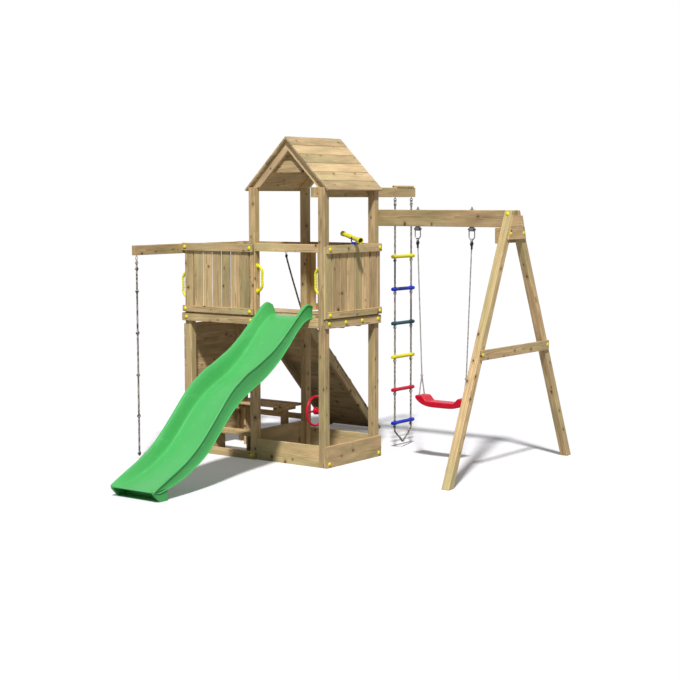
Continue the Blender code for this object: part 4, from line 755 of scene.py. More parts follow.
wall = {"bottom": 0.075, "boards": 10, "board": 0.109, "thick": 0.018, "pitch": 0.111, "batten": 0.030, "short": 0.003,
        "screws": (0.028, 0.081), "grips": ((1, 0.3), (2, 0.7), (4, 0.25), (5, 0.62), (7, 0.35), (8, 0.75))}
board, boardPitch, innerFace = wall["board"], wall["pitch"], leftSide - gap
wallX = innerFace - wall["thick"]
rows = wall["bottom"] + boardPitch * np.arange(wall["boards"])
bars = [boxBar((wallX, front, z), (innerFace, back, z + board)) for z in rows]
for y in (half + gap, deepY - half - gap - wall["batten"]):
    bars.append(boxBar((innerFace, y, rows[0] + wall["short"]),
                       (innerFace + wall["batten"], y + wall["batten"], rows[-1] + board - wall["short"])))
addTimber("climbing_wall", bars)
screws += [((wallX, y, z + dz), -xAxis) for z in rows for y in (0.0, deepY) for dz in wall["screws"]]
for n, (row, share) in enumerate(wall["grips"]):
    place = (wallX, front + share * (back - front), rows[row] + board / 2)
    gripShapes[gripLooks[n % 4]].append(gripShape(place, -xAxis, 1.3 * n))

ramp = {"angle": math.radians(45.7), "top": back + skin + 0.032, "long": 0.640, "x": -1.170, "thick": 0.018,
        "stringer": (0.035, 0.070), "inset": 0.004, "screwX": 0.298,
        "grips": ((3, 0.268), (5, -0.16), (6, 0.268), (8, -0.2), (9, 0.268), (11, -0.12))}
rampCos, rampSin, rampTan = math.cos(ramp["angle"]), math.sin(ramp["angle"]), math.tan(ramp["angle"])
rampDown, rampUp = np.array([0, rampCos, -rampSin]), np.array([0, rampSin, rampCos])


def rampPoint(x, down, depth=0.0):
    # the place at x, so far down the ramp from its top edge and so deep under its face
    return np.array([x, ramp["top"] + down * rampCos - depth * rampSin, deck["top"] - down * rampSin - depth * rampCos])


bars = []
for i in range(int((deck["top"] / rampSin - ramp["thick"]) / boardPitch)):
    centre = rampPoint(ramp["x"], i * boardPitch + board / 2, ramp["thick"] / 2)
    bars.append(bar(centre, xAxis, rampDown, (ramp["long"], board, ramp["thick"])))
    screws += [(rampPoint(ramp["x"] + x, i * boardPitch + share), rampUp)
               for x in (-ramp["screwX"], ramp["screwX"]) for share in wall["screws"]]
thick, deep = ramp["stringer"]
depth = ramp["thick"] + deep / 2
start = (back + 2 * gap + skin - ramp["top"] + depth * rampSin) / rampCos
end = (deck["top"] - depth * rampCos) / rampSin
for side in (-1, 1):
    centre = rampPoint(ramp["x"] + side * (ramp["long"] / 2 - ramp["inset"] - thick / 2), (start + end) / 2, depth)
    bars.append(bar(centre, rampDown, rampUp, (end - start, deep, thick), skew=(-rampTan, 1 / rampTan)))
addTimber("climbing_ramp", bars)
for n, (row, across) in enumerate(ramp["grips"]):
    place = rampPoint(ramp["x"] + across, row * boardPitch + board / 2)
    gripShapes[gripLooks[(n + 1) % 4]].append(gripShape(place, rampUp, 0.9 * n + 2.0))
for look, shapes in gripShapes.items():
    addPiece(look + "Grips", together(*shapes), look, angle=50)
print("climbing wall and ramp built")


# Picnic table and bench

picnic = {"left": leftX + half + 0.055, "right": middleLeft - gap, "benchRight": middleX - 0.011 - gap, "pitch": 0.111,
          "plank": 0.098, "table": (0.400, 0.420), "tableFront": 0.420, "bench": (0.185, 0.205),
          "benchFront": half + gap, "legHalf": 0.011, "railLow": 0.355, "railShort": 0.003, "legWide": 0.049,
          "tableDeep": 0.320, "benchDeep": 0.209}


def planks(count, start, right, heights):
    # level planks side by side
    return [boxBar((picnic["left"], y, heights[0]), (right, y + picnic["plank"], heights[1]))
            for y in start + picnic["pitch"] * np.arange(count)]


def crossBoard(x, y0, y1, z0, z1):
    return boxBar((x - picnic["legHalf"], y0, z0), (x + picnic["legHalf"], y1, z1))


start, deep, short = picnic["tableFront"], picnic["tableDeep"], picnic["railShort"]
legs = (picnic["left"] + picnic["plank"], picnic["right"] - picnic["plank"])
tableBars = planks(3, start, picnic["right"], picnic["table"])
for x in legs:
    tableBars.append(crossBoard(x, start + short, start + deep - short, picnic["railLow"], picnic["table"][0]))
    tableBars.append(crossBoard(x, start + deep / 2 - picnic["legWide"], start + deep / 2 + picnic["legWide"], 0.0,
                                picnic["railLow"]))
addTimber("picnic_table", tableBars)
start, deep = picnic["benchFront"], picnic["benchDeep"]
addTimber("picnic_bench", planks(2, start, picnic["benchRight"], picnic["bench"])
          + [crossBoard(x, start + short, start + deep - short, 0.0, picnic["bench"][0]) for x in legs])


# A-frame

aFrame = {"beamY": back + gap + 0.035, "beamHalf": 0.035, "top": 2.229, "end": 1.425, "spread": 0.997, "cut": 0.0324,
          "plate": (1.985, 2.185), "half": (0.150, 0.085), "ease": 0.004, "cap": 0.006,
          "pith": (0.006, 0.004)}
beamY, legEnd = aFrame["beamY"], aFrame["end"]
lean, legTop = 0.0, aFrame["beamHalf"] + gap + aFrame["cut"]
for _ in range(20):
    lean = math.atan2(aFrame["spread"] + half / math.cos(lean) - legTop, aFrame["top"])
legWide = tower["post"] / math.cos(lean)


def legOuter(z):
    return legTop + (aFrame["top"] - z) * math.tan(lean)


def addLeg(node, side):
    # level eight-cornered sections up the leg; its inner side turns plumb where it meets the beam
    ease = aFrame["ease"]
    meet = aFrame["top"] - (legWide - aFrame["cut"]) / math.tan(lean)
    levels = np.array([0.0, ease, meet, aFrame["top"] - ease, aFrame["top"]])[:, None]
    drawn = np.array([0.7, 0.0, 0.0, 0.0, 0.7])[:, None] * ease
    far = legOuter(levels) - drawn
    close = np.maximum(legOuter(levels) - legWide, aFrame["beamHalf"] + gap) + drawn
    share = np.array([1, 1, 1, 1, 0, 0, 0, 0], float)
    away = far * share + close * (1 - share) + np.array([-1, 0, 0, -1, 1, 0, 0, 1]) * ease
    x = legEnd - np.array([0.0, ease, tower["post"] - ease, tower["post"]])
    x = np.concatenate([x, x[::-1]]) + np.array([-1, 0, 0, 1, 1, 0, 0, -1]) * drawn
    points = np.stack([x, beamY + side * away, np.broadcast_to(levels, x.shape)], -1)
    ends = [[0, 1, 6, 7], [1, 2, 5, 6], [2, 3, 4, 5], [39, 38, 33, 32], [38, 37, 34, 33], [37, 36, 35, 34]]
    shape = facing(points, gridFaces(5, 8) + ends)
    centreLine = legOuter(levels) - legWide / 2
    pithY, pithX = aFrame["pith"]
    shape["grain"] = np.stack([points[..., 2] / math.cos(lean) + dice.uniform(0, timber["logLong"]),
                               (away - centreLine) * math.cos(lean) + pithY,
                               points[..., 0] - legEnd + half + pithX], -1)
    shape["trim"] = trimOf(5, [dice.uniform()])
    addNode(node, shape, "timber", angle=0)


addLeg("swing_leg_front", -1)
addLeg("swing_leg_back", 1)
low, top = aFrame["plate"]
rate = (aFrame["half"][0] - aFrame["half"][1]) / (top - low)
barLow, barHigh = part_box("cross_bar")
outside = barHigh[0] - aFrame["cap"]
addTimber("cross_bar", [boxBar(barLow, (outside, *barHigh[1:]))])
centre = np.array([(legEnd + gap + outside) / 2, beamY, (low + top) / 2])
size = (sum(aFrame["half"]), top - low, outside - legEnd - gap)
addTimber("frame_plate_outer", [bar(centre, yAxis, zAxis, size, skew=(rate, -rate))])
print("picnic set and A-frame built")


# Bolt caps and screw heads

cap = {"profile": ((0, 0), (0.0165, 0), (0.0167, 0.0025), (0.0155, 0.0060), (0.0125, 0.0088), (0.0080, 0.0104),
                   (0.0035, 0.0110), (0, 0.0111)),
       "rails": (1.894, 1.3285), "rim": 1.250, "foot": 0.035, "beam": 1.876, "joists": (0.002, 0.242, 0.484, 0.728),
       "joistZ": 1.255, "legZ": 2.200, "plate": (0.1065, 2.034), "crossBar": (0.5425, 1.050)}
screw = {"profile": ((0, -0.0004), (0.0040, -0.0004), (0.0036, 0.0007), (0.0016, 0.0007), (0.0011, 0.0), (0, 0.0)),
         "legX": (1.374, 1.406), "legZ": (2.035, 2.075)}


def spots(xs, ys, zs, normal):
    return [((x, y, z), normal) for x in xs for y in ys for z in zs]


for x in (leftX, middleX):
    caps += spots([x], [front - outerRail], cap["rails"], -yAxis)
    caps += spots([x], [front - out], (cap["rim"], cap["foot"]), -yAxis)
for y in (0.0, deepY):
    caps += spots([rightSide + outerRail], [y], cap["rails"], xAxis)
    caps += spots([rightSide + out], [y], [cap["foot"]], xAxis)
    caps += spots([leftSide - out], [y], [cap["rim"]], -xAxis)
    caps += spots([beamX - hooks["beamHalf"]], [y], [cap["beam"]], -xAxis)
caps += spots([rightSide + out], cap["joists"], [cap["joistZ"]], xAxis)
caps += spots((0.0, middleX), [back + outerRail], cap["rails"], yAxis)
caps += spots((0.0, middleX, leftX), [back + out], [cap["rim"]], yAxis)
legFace = (0, -math.cos(lean), math.sin(lean))
caps.append(((legEnd - half, beamY - legOuter(cap["legZ"]), cap["legZ"]), legFace))
screws += [((x, beamY - legOuter(z), z), legFace) for x in screw["legX"] for z in screw["legZ"]]
# the caps on the outer plate and the cross bar are lower, so that they stay inside the CAD's box
lowCaps = [spot for dy, z in (cap["plate"], cap["crossBar"])
           for spot in spots([outside], (beamY - dy, beamY + dy), [z], xAxis)]
flatter = (aFrame["cap"] - 0.0001) / cap["profile"][-1][1]
lowProfile = np.array(cap["profile"]) * (1.0, flatter)
capShapes = [turned(cap["profile"], place, normal, 20) for place, normal in caps]
capShapes += [turned(lowProfile, place, normal, 20) for place, normal in lowCaps]
addPiece("boltCaps", together(*capShapes), "yellow", angle=60)
screwShapes = [turned(screw["profile"], place, normal, 8) for place, normal in screws]
addPiece("screwHeads", together(*screwShapes), "zinc", angle=30)
print(len(caps), "caps and", len(screws), "screws placed")


# Slide: a section of rolled rims, walls and bed, carried down the two side lines
# Each point of the section is its distance from the middle, its share from bed to rim, and its lift above that.

slide = {"x": -0.355, "front": -1.997, "back": -0.002, "lip": -1.97, "side": (0.2105, 0.2325), "panel": 0.2110,
         "rim": ((-0.002, 1.405), (-0.060, 1.425), (-0.120, 1.400), (-0.210, 1.330), (-0.320, 1.238), (-0.430, 1.150),
                 (-0.560, 1.060), (-0.670, 1.003), (-0.780, 0.950), (-0.880, 0.908), (-0.970, 0.855), (-1.050, 0.803),
                 (-1.130, 0.735), (-1.250, 0.612), (-1.410, 0.452), (-1.500, 0.372), (-1.600, 0.300), (-1.710, 0.238),
                 (-1.820, 0.186), (-1.910, 0.141), (-1.960, 0.114), (-1.985, 0.098), (-1.997, 0.087)),
         "bed": ((-0.002, 1.3143), (-0.040, 1.3143), (-0.100, 1.300), (-0.210, 1.222), (-0.320, 1.115), (-0.430, 1.015),
                 (-0.560, 0.918), (-0.670, 0.852), (-0.780, 0.800), (-0.880, 0.752), (-0.970, 0.698), (-1.050, 0.640),
                 (-1.130, 0.568), (-1.250, 0.446), (-1.410, 0.303), (-1.500, 0.248), (-1.600, 0.196), (-1.710, 0.150),
                 (-1.820, 0.117), (-1.910, 0.096), (-1.975, 0.086), (-1.997, 0.083)),
         "section": ((0.0, 0, 0), (0.06, 0, 0), (0.148, 0, 0.0002), (0.162, 0, 0.0012), (0.171, 0, 0.005),
                     (0.176, 0, 0.012), (0.184, 0.24, 0.010), (0.198, 0.62, 0.004), (0.210, 0.94, 0),
                     (0.2135, 1, -0.005),
                     (0.2185, 1, -0.002), (0.2245, 1, 0), (0.231, 1, 0), (0.237, 1, -0.003), (0.24, 1, -0.009),
                     (0.24, 1, -0.016), (0.2375, 1, -0.020), (0.2335, 1, -0.0215), (0.2325, 0.5, -0.004),
                     (0.2325, 0, -0.012), (0.2345, 0, -0.0165), (0.239, 0, -0.018), (0.2395, 0, -0.0225),
                     (0.234, 0, -0.024), (0.215, 0, -0.024), (0.11, 0, -0.022), (0.0, 0, -0.022)),
         "foot": ((-1.975, 0.0835), (-1.990, 0.0820), (-1.9955, 0.0785), (-1.9968, 0.0735), (-1.9945, 0.0670),
                  (-1.988, 0.0590), (-1.935, 0.0060), (-1.930, 0.0020), (-1.924, 0.0), (-1.851, 0.0), (-1.847, 0.0015),
                  (-1.845, 0.006), (-1.845, 0.098)),
         "panels": (((-1.942, 0.010), (-1.936, 0.004), (-1.928, 0.0), (-1.857, 0.0), (-1.857, 0.010)),
                    ((-1.857, 0.0), (-1.847, 0.0), (-1.847, 0.094), (-1.857, 0.094)))}


def curveThrough(points, at):
    # cubic through the points, with slopes from their neighbours
    points = np.asarray(points, float)[::-1]
    slopes = np.gradient(points[:, 1], points[:, 0])
    i = np.clip(np.searchsorted(points[:, 0], at) - 1, 0, len(points) - 2)
    step = points[i + 1, 0] - points[i, 0]
    t = (at - points[i, 0]) / step
    return ((2 * t ** 3 - 3 * t ** 2 + 1) * points[i, 1] + (t ** 3 - 2 * t ** 2 + t) * step * slopes[i]
            + (3 * t ** 2 - 2 * t ** 3) * points[i + 1, 1] + (t ** 3 - t ** 2) * step * slopes[i + 1])


def mirrored(outline):
    # half an outline, from its middle to its middle, and the other half after it
    outline = np.array(outline)
    return np.concatenate([outline, (outline[1:-1] * (-1, 1, 1))[::-1]])


def plateAcross(x0, x1, outline):
    # an outline of y and z between two places in x, measured from the slide's middle
    outline = np.array(outline)
    points = np.stack([np.repeat([slide["x"] + x0, slide["x"] + x1], len(outline)), *np.tile(outline.T, 2)], -1)
    return facing(points, tubeFaces(2, len(outline)))


y = np.concatenate([np.linspace(slide["front"], slide["lip"], 8, endpoint=False),
                    np.linspace(slide["lip"], slide["back"], 170)])[:, None]
rimZ, bedZ = curveThrough(slide["rim"], y), curveThrough(slide["bed"], y)
across, share, raised = mirrored(slide["section"]).T
room = np.clip((rimZ - bedZ) / 0.1, 0.0, 1.0)
thin = np.clip((y - slide["front"]) / 0.06, 0.25, 1.0)
lift = raised * np.where(raised > 0, room, np.where(share == 0, thin, np.minimum(room * 2, 1.0)))
z = bedZ * (1 - share) + rimZ * share + lift
points = np.stack([np.broadcast_to(slide["x"] + across, z.shape), np.broadcast_to(y, z.shape), z], -1)
inside, outer = slide["side"]
sides = [plateAcross(x0, x1, slide["foot"]) for x0, x1 in ((-outer, -inside), (inside, outer))]
sides += [plateAcross(-slide["panel"], slide["panel"], outline) for outline in slide["panels"]]
addPiece("slideChute", together(facing(points, tubeFaces(*z.shape)), *sides), "green", stands=("slide",), angle=40)
print("slide built")


# Handgrips, steering wheel and telescope

handgrip = {"reach": 0.0650, "tall": 0.225, "radius": 0.0125, "pad": 0.021, "padThick": 0.008, "ridges": 9,
            "bend": ((0.006, 0.018), (0.045, 0.012), (0.085, 0.0125)),
            "sides": {"middle": (middleRight, 1, 1.512), "right": (-half, -1, 1.508), "left": (leftSide, -1, 1.430)}}
tall, radius, padThick, pad = (handgrip[key] for key in ("tall", "radius", "padThick", "pad"))
(z1, x1), (z2, x2), (z3, x3) = handgrip["bend"]
padProfile = [(0, 0), (pad, 0), (pad, 0.005), (pad * 0.9, 0.0075), (pad * 0.6, padThick), (0, padThick)]
for side, (face, way, low) in handgrip["sides"].items():
    start, reach = face + way * (gap + padThick - 0.002), face + way * handgrip["reach"]
    halfRoute = [(start, 0.0), (start + way * x1, z1), (reach - way * x2, z2), (reach - way * x3, z3)]
    route = [(x, 0, low + z) for x, z in halfRoute] + [(x, 0, low + tall - z) for x, z in halfRoute[::-1]]
    path = smoothPath(route, 0.005)
    level = (path[:, 2] - low) / tall
    ridged = (1 + np.cos(2 * np.pi * level * handgrip["ridges"])) * (np.abs(level - 0.5) < 0.28)
    section = (radius * (1.0 - 0.10 * ridged))[:, None, None] * roundSection(1.0, 20)
    pads = [turned(padProfile, (face + way * gap, 0, z), way * xAxis, 24) for z in (low, low + tall)]
    addNode(f"handgrip_{side}", together(swept(path, section, yAxis), *pads), "yellow", angle=45)

wheel = {"x": -0.0906, "z": 0.490, "radius": 0.127, "wire": 0.0115, "spoke": (0.024, 0.07, 0.123),
         "spokeRadius": 0.0095,
         "hub": ((0, -0.015), (0.030, -0.015), (0.032, -0.012), (0.032, 0.008), (0.029, 0.012), (0.016, 0.0145),
                 (0.009, 0.0145), (0.008, 0.011), (0, 0.011)),
         "boss": ((0, 0), (0.024, 0), (0.024, 0.004), (0.0205, 0.008), (0.0195, 0.034), (0.021, 0.0385), (0.021, 0.040),
                  (0, 0.040))}
place = np.array([wheel["x"], 0.0, wheel["z"]])
rim = ring(place, wheel["radius"], wheel["wire"], xAxis, 64, 16)
spokes = [swept(smoothPath([place + side * y * yAxis for y in wheel["spoke"]], 0.008),
                roundSection(wheel["spokeRadius"], 16, 0.62), zAxis) for side in (-1, 1)]
addNode("steering_wheel", together(rim, *spokes, turned(wheel["hub"], place, -xAxis, 32)), "red", "steering_wheel", 40)
boss = turned(wheel["boss"], (-half - gap, 0, wheel["z"]), -xAxis)
addPiece("steeringBoss", boss, "red", stands=("steering_wheel_boss",))

scope = {"x": rightSide + 0.0147 + 0.011, "y": 0.360, "z": 1.985, "turn": math.radians(-27.0), "dip": math.radians(9.0),
         "radius": 0.021, "armHalf": 0.005, "strap": (0.008, 0.004), "baseTall": 0.014,
         "tube": ((0, -0.222), (0.014, -0.222), (0.015, -0.228), (0.0195, -0.230), (0.0235, -0.228), (0.0235, -0.208),
                  (0.0215, -0.204), (0.0195, -0.200), (0.0195, -0.080), (0.0215, -0.078), (0.0215, -0.070),
                  (0.0205, -0.068), (0.0205, 0.078), (0.0225, 0.084), (0.0262, 0.098), (0.0275, 0.104), (0.0275, 0.127),
                  (0.0265, 0.130), (0.0225, 0.130), (0.0215, 0.118), (0, 0.118)),
         "lens": ((0, 0.1182), (0.0208, 0.1182), (0.0204, 0.1195), (0.012, 0.1215), (0, 0.1222)),
         "eyepiece": ((0, 0.2222), (0.0132, 0.2222), (0.0128, 0.2240), (0, 0.2245)),
         "pin": ((0, 0), (0.007, 0), (0.007, 0.002), (0.005, 0.0035), (0, 0.0035)),
         "base": ((0, 0), (0.020, 0), (0.020, 0.004), (0.017, 0.008), (0.012, 0.010), (0.012, 0.014), (0, 0.014))}
pivot = np.array([scope["x"], scope["y"], scope["z"]])
facingX, facingY = math.cos(scope["turn"]), math.sin(scope["turn"])
ahead = np.array([facingX * math.cos(scope["dip"]), facingY * math.cos(scope["dip"]), -math.sin(scope["dip"])])
sideways = np.array([-facingY, facingX, 0.0])
addNode("telescope_tube", turned(scope["tube"], pivot, ahead, 40), "yellow", "telescope", 40)
addPiece("telescopeLens", turned(scope["lens"], pivot, ahead, 32), "black", "telescope")
addPiece("telescopeEyepiece", turned(scope["eyepiece"], pivot, -ahead, 24), "black", "telescope")
baseZ = rail["top"][1] + gap
yokeFloor = baseZ + scope["baseTall"] + gap - scope["z"]
arm = scope["radius"] + gap + scope["armHalf"]
halfRoute = [(arm, 0.012), (arm, -0.010), (arm * 0.92, yokeFloor + 0.012), (arm * 0.5, yokeFloor + 0.0045)]
route = [pivot - sideways * reach + zAxis * dz for reach, dz in halfRoute]
route += [pivot + sideways * reach + zAxis * dz for reach, dz in halfRoute[::-1]]
yoke = swept(smoothPath(route, 0.003), softBox(*scope["strap"], 0.5, 20), np.cross(sideways, zAxis))
pins = [turned(scope["pin"], pivot + sideways * side * (arm + 0.0035), sideways * side, 18) for side in (-1, 1)]
addNode("telescope_yoke", together(yoke, *pins), "blue", "telescope_mount", 40)
addNode("telescope_base", turned(scope["base"], (scope["x"], scope["y"], baseZ)), "blue")
print("grips, wheel and telescope built")


# Swing

swing = {"x": 0.711, "hook": 0.279, "pivot": 2.0624, "rope": 0.006, "knot": 0.017, "seatHalf": 0.2315, "split": 0.765,
         "half": 0.260, "deep": 0.140, "low": 0.494, "thick": 0.051, "endLow": 0.565, "rise": 0.047,
         "pad": (0.50, 0.74),
         "branch": 0.040, "holder": (0.014, 0.017, 0.022), "drop": 0.088, "reach": 0.0275, "wire": 0.005,
         "eye": (0.014, 0.0045), "edge": 0.013, "ribPitch": 0.014, "ribbed": (0.054, 0.225),
         "ribDeep": 0.0009, "round": (0.250, 0.01005), "rows": 141,
         "bolt": ((0, 2.0797), (0.020, 2.0797), (0.020, 2.0837), (0.006, 2.0837), (0.006, 2.2293), (0.020, 2.2293),
                  (0.020, 2.2325), (0.0105, 2.2333), (0.0105, 2.2420), (0.0095, 2.2433), (0.006, 2.2433),
                  (0.006, 2.2555),
                  (0.005, 2.257), (0, 2.257)),
         "pinEnd": ((0, 0), (0.009, 0), (0.009, 0.005), (0.007, 0.007), (0, 0.007)),
         "stopper": ((0, 0), (0.011, 0), (0.012, 0.002), (0.010, 0.005), (0, 0.006)),
         "sleeve": ((0, -0.028), (0.007, -0.028), (0.009, -0.026), (0.009, -0.002), (0.007, 0), (0, 0))}
pivotZ, reach, seatHalf = swing["pivot"], swing["reach"], swing["half"]


def seatTop(x):
    start, end = swing["pad"]
    share = np.clip((np.abs(x) / seatHalf - start) / (end - start), 0.0, 1.0)
    return swing["low"] + swing["thick"] + swing["rise"] * share ** 2 * (3 - 2 * share)


def seatLow(x):
    return swing["low"] + (swing["endLow"] - swing["low"]) * (np.abs(x) / seatHalf) ** 4


for side, name in ((-1, "left"), (1, "right")):
    x = swing["x"] + side * swing["hook"]
    hung = np.array([x, beamY, 0.0])
    wide, tall, long = swing["holder"]
    holder = swept([(x + dx, beamY, pivotZ) for dx in np.linspace(-long, long, 5)], softBox(wide, tall, 0.4, 24), yAxis)
    addNode(f"swing_hanger_{name}", together(turned(swing["bolt"], hung, steps=24), holder), "steel")

    low = pivotZ - swing["drop"]
    bend = [(-math.cos(a), low + reach - reach * math.sin(a)) for a in np.linspace(0, np.pi, 13)]
    route = [(-1, pivotZ + 0.006), (-1, pivotZ - 0.02), *bend, (1, pivotZ - 0.02), (1, pivotZ + 0.006)]
    path = smoothPath([(x + way * reach, beamY, z) for way, z in route], 0.004)
    shackle = swept(path, roundSection(swing["wire"], 14))
    ends = [turned(swing["pinEnd"], (x + way * (reach + 0.003), beamY, pivotZ), way * xAxis, 16) for way in (-1, 1)]
    eyeRadius, eyeWire = swing["eye"]
    eyeZ = low - eyeRadius + swing["wire"]
    eye = ring((x, beamY, eyeZ), eyeRadius, eyeWire, xAxis)
    addPiece(f"swingShackle{name.capitalize()}", together(shackle, eye, *ends), "steel", "swing", angle=40)

    top = np.array([x, beamY, eyeZ - eyeRadius - swing["knot"] * 0.8])
    split = np.array([swing["x"] + side * swing["seatHalf"], beamY, swing["split"]])
    shapes = [rope([top, (top + split) / 2, split], swing["rope"], 0.003), knot(split, swing["knot"] * 0.8, 1.2)]
    for way in (-1, 1):
        hole = np.array([split[0], beamY + way * swing["branch"], seatTop(swing["seatHalf"]) + 0.004])
        shapes.append(rope([split, (split + hole) / 2, hole], swing["rope"], 0.003))
        shapes.append(turned(swing["stopper"], hole - 0.005 * zAxis, steps=16))
    addNode(f"swing_rope_{name}", together(*shapes), "paleRope", "swing", 40)
    sleeve = turned(swing["sleeve"], top - 0.018 * zAxis, zAxis, 18)
    knotted = together(knot(top, swing["knot"], 1.5), sleeve)
    addPiece(f"swingKnot{name.capitalize()}", knotted, "black", "swing", angle=50)

# The seat's section runs round its edge with a parting line along each side, and the sitting face carries shallow ribs.
# Each point is its distance across, its share from underside to top, and its lift above that.
halfDeep, edge = swing["deep"] / 2, swing["edge"]
outline = [(y, 1.0, 0.0) for y in np.linspace(0.0, halfDeep - edge, 14)]
outline += [(halfDeep - edge + edge * math.sin(a), 1.0, 0.011 * (math.cos(a) - 1)) for a in np.linspace(0.2, 1.5, 6)]
outline += [(halfDeep - (0.0012 if abs(share - 0.5) < 0.06 else 0.0), share, 0.0) for share in np.linspace(0.8, 0.2, 7)]
outline += [(halfDeep - 0.010 + 0.010 * math.sin(a), 0.0, 0.009 * (1 - math.cos(a))) for a in np.linspace(1.5, 0.2, 6)]
outline += [(y, 0.0, 0.0) for y in np.linspace(halfDeep - 0.012, 0.0, 6)]
across, share, raised = mirrored(outline).T
along = np.linspace(-seatHalf, seatHalf, swing["rows"])[:, None]
top, bottom = seatTop(along), seatLow(along)
ribY, ribX = swing["ribbed"]
ribbed = (np.abs(across) < ribY) * (share == 1) * (np.abs(along) < ribX)
z = bottom * (1 - share) + top * share + raised
z -= swing["ribDeep"] * (1 + np.cos(2 * np.pi * along / swing["ribPitch"])) * ribbed
straight, curved = swing["round"]
drawn = np.sqrt(np.clip(1 - np.clip((np.abs(along) - straight) / curved, 0, 1) ** 2, 0.0, 1.0))
centre = (top + bottom) / 2
z = centre + (z - centre) * (0.35 + 0.65 * drawn)
points = np.stack([np.broadcast_to(swing["x"] + along, z.shape), beamY + across * (0.90 + 0.10 * drawn), z], -1)
addNode("swing_seat", facing(points, tubeFaces(*z.shape)), "red", "swing", 50)
print("swing built")


# Rope ladder

ladder = {"x": -0.058, "ropes": (1.162, 1.428), "rope": 0.009, "knot": 0.017, "radius": 0.0172, "collar": 0.020,
          "heights": (1.794, 1.493, 1.175, 0.863, 0.555, 0.244),
          "looks": ("yellow", "blue", "teal", "yellow", "red", "blue"),
          "pivot": 2.316, "tip": 0.055, "capThick": 0.018, "stem": 0.004}
ladderX, ladderY, eyeGap = ladder["x"], sum(ladder["ropes"]) / 2, hooks["ring"] - hooks["wire"]
frontRope, backRope = ladder["ropes"]
underRung = ladder["collar"] + gap
eyeZ = ladder["pivot"] - eyeGap + gap - eyeGap
lowest = ladder["heights"][-1] - underRung - 0.034
low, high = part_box("ladder_hanger")
plate, eyes, hangers = tower["postTop"] + gap, [], []
for name, y in zip(("front", "back"), ladder["ropes"]):
    shapes = [rope([(ladderX, y, z) for z in (eyeZ - 0.010, 1.2, lowest)], ladder["rope"])]
    shapes += [knot((ladderX, y, z - underRung - 0.017), ladder["knot"], 1.05, n * 0.9)
               for n, z in enumerate(ladder["heights"])]
    shapes.append(knot((ladderX, y, eyeZ - 0.026), 0.015, 1.3))
    addNode(f"ladder_rope_{name}", together(*shapes), "darkRope", "rope_ladder", 60)
    eyes.append(ring((ladderX, y, eyeZ), hooks["ring"], hooks["wire"], xAxis))
    hangers.append(ring((ladderX, y, ladder["pivot"]), hooks["ring"], hooks["wire"], yAxis))
    start, stem = ladder["pivot"] + hooks["ring"], ladder["stem"]
    end = plate + 0.004 - start
    hangers.append(turned([(0, 0), (stem, 0), (stem, end), (0, end)], (ladderX, y, start), steps=18))
halfTie = [(frontRope, lowest + 0.004), (frontRope, lowest - 0.012), (frontRope + 0.012, lowest - 0.036),
           (ladderY - 0.036, ladder["tip"] + 0.030), (ladderY - 0.012, ladder["tip"] + 0.004)]
tie = [(ladderX, y, z) for y, z in halfTie] + [(ladderX, 2 * ladderY - y, z) for y, z in halfTie[::-1]]
addNode("ladder_tie", rope(tie, ladder["rope"]), "darkRope", "rope_ladder", 60)
addPiece("ladderEyes", together(*eyes), "steel", "rope_ladder", angle=40)
capBar = boxBar((*low[:2], plate), (*high[:2], plate + ladder["capThick"]))
addPiece("ladderCap", barShape([capBar], timber["ease"]), "timber", angle=0)
addNode("ladder_hanger", together(*hangers), "steel", angle=40)
c, r, k = ladder["collar"], ladder["radius"], (backRope - frontRope) / 2
profile = [(0, -k - 0.043), (r - 0.004, -k - 0.043), (r - 0.001, -k - 0.041), (r, -k - 0.037), (r, -k - 0.026),
           (c - 0.003, -k - 0.023), (c, -k - 0.018), (c, -k + 0.016), (c - 0.002, -k + 0.020), (r + 0.001, -k + 0.025),
           (r, -k + 0.030)]
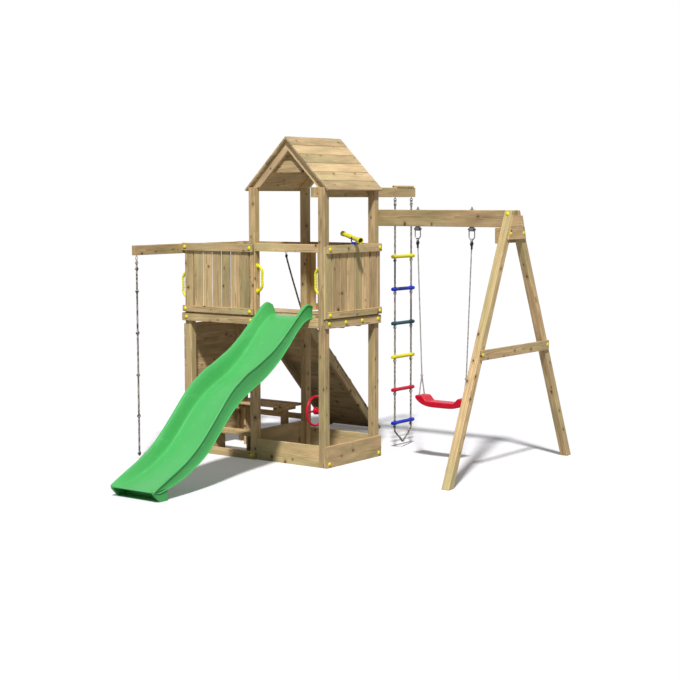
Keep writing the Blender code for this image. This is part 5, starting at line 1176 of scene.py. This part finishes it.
grooves = [(r - 0.0007 * (1 - math.cos(math.pi * i / 2)), y)
           for i, y in enumerate(np.linspace(0.034 - k, k - 0.034, 29))]
profile = profile + grooves + [(radius, -place) for radius, place in profile[::-1]]
for n, (z, look) in enumerate(zip(ladder["heights"], ladder["looks"])):
    addNode(f"ladder_rung_{n + 1}", turned(profile, (ladderX, ladderY, z), yAxis), look, "rope_ladder", 45)
print("rope ladder built")


# Free ropes: the climbing rope and the pull rope on the ramp

cords = {"radius": 0.009, "climbEnd": 0.030, "knots": (1.712, 1.512, 1.138, 0.762, 0.392), "knot": 0.0188,
         "free": ((0.0, 0.0), (0.012, 0.050), (0.110, 0.280), (0.270, 0.620)),
         "onRamp": ((0.560, 0.016), (0.640, 0.003), (0.760, 0.0), (0.900, 0.0), (1.040, 0.0))}
climbTop = ropeTop(beamLow)
climb = [(beamX, hooks["ropeY"], z) for z in (climbTop, 0.9, cords["climbEnd"])]
climbRope = addNode("climbing_rope", rope(climb, cords["radius"]), "darkRope", angle=60)
knots = [(z, cords["knot"], 1.0, n) for n, z in enumerate(cords["knots"])]
knots += [(0.052, 0.018, 1.1, 0.0), (climbTop - 0.022, 0.0145, 1.5, 0.0)]
knotShapes = [knot((beamX, hooks["ropeY"], z), *form) for z, *form in knots]
climbKnots = addPiece("climbingKnots", together(*knotShapes), "darkRope", angle=60)
path = smoothPath(climb, 0.05)

barY, top = back + gap + 0.011, ropeTop(hooks["pullZ"])
pull = [(pullX, barY + dy, top - dz) for dy, dz in cords["free"]]
pull += [rampPoint(pullX, down, -cords["radius"] - 0.0015 - lift) for down, lift in cords["onRamp"]]
pullRope = addNode("ramp_rope", rope(pull, cords["radius"]), "darkRope", angle=60)
path = smoothPath(pull, 0.05)
knotShapes = [knot((pullX, barY + 0.004, top - 0.020), 0.0145, 1.4), knot(pull[-1] + rampUp * 0.006, 0.0165, 1.0)]
endKnot = addPiece("rampRopeKnot", together(*knotShapes), "darkRope", angle=60)
print("ropes built")
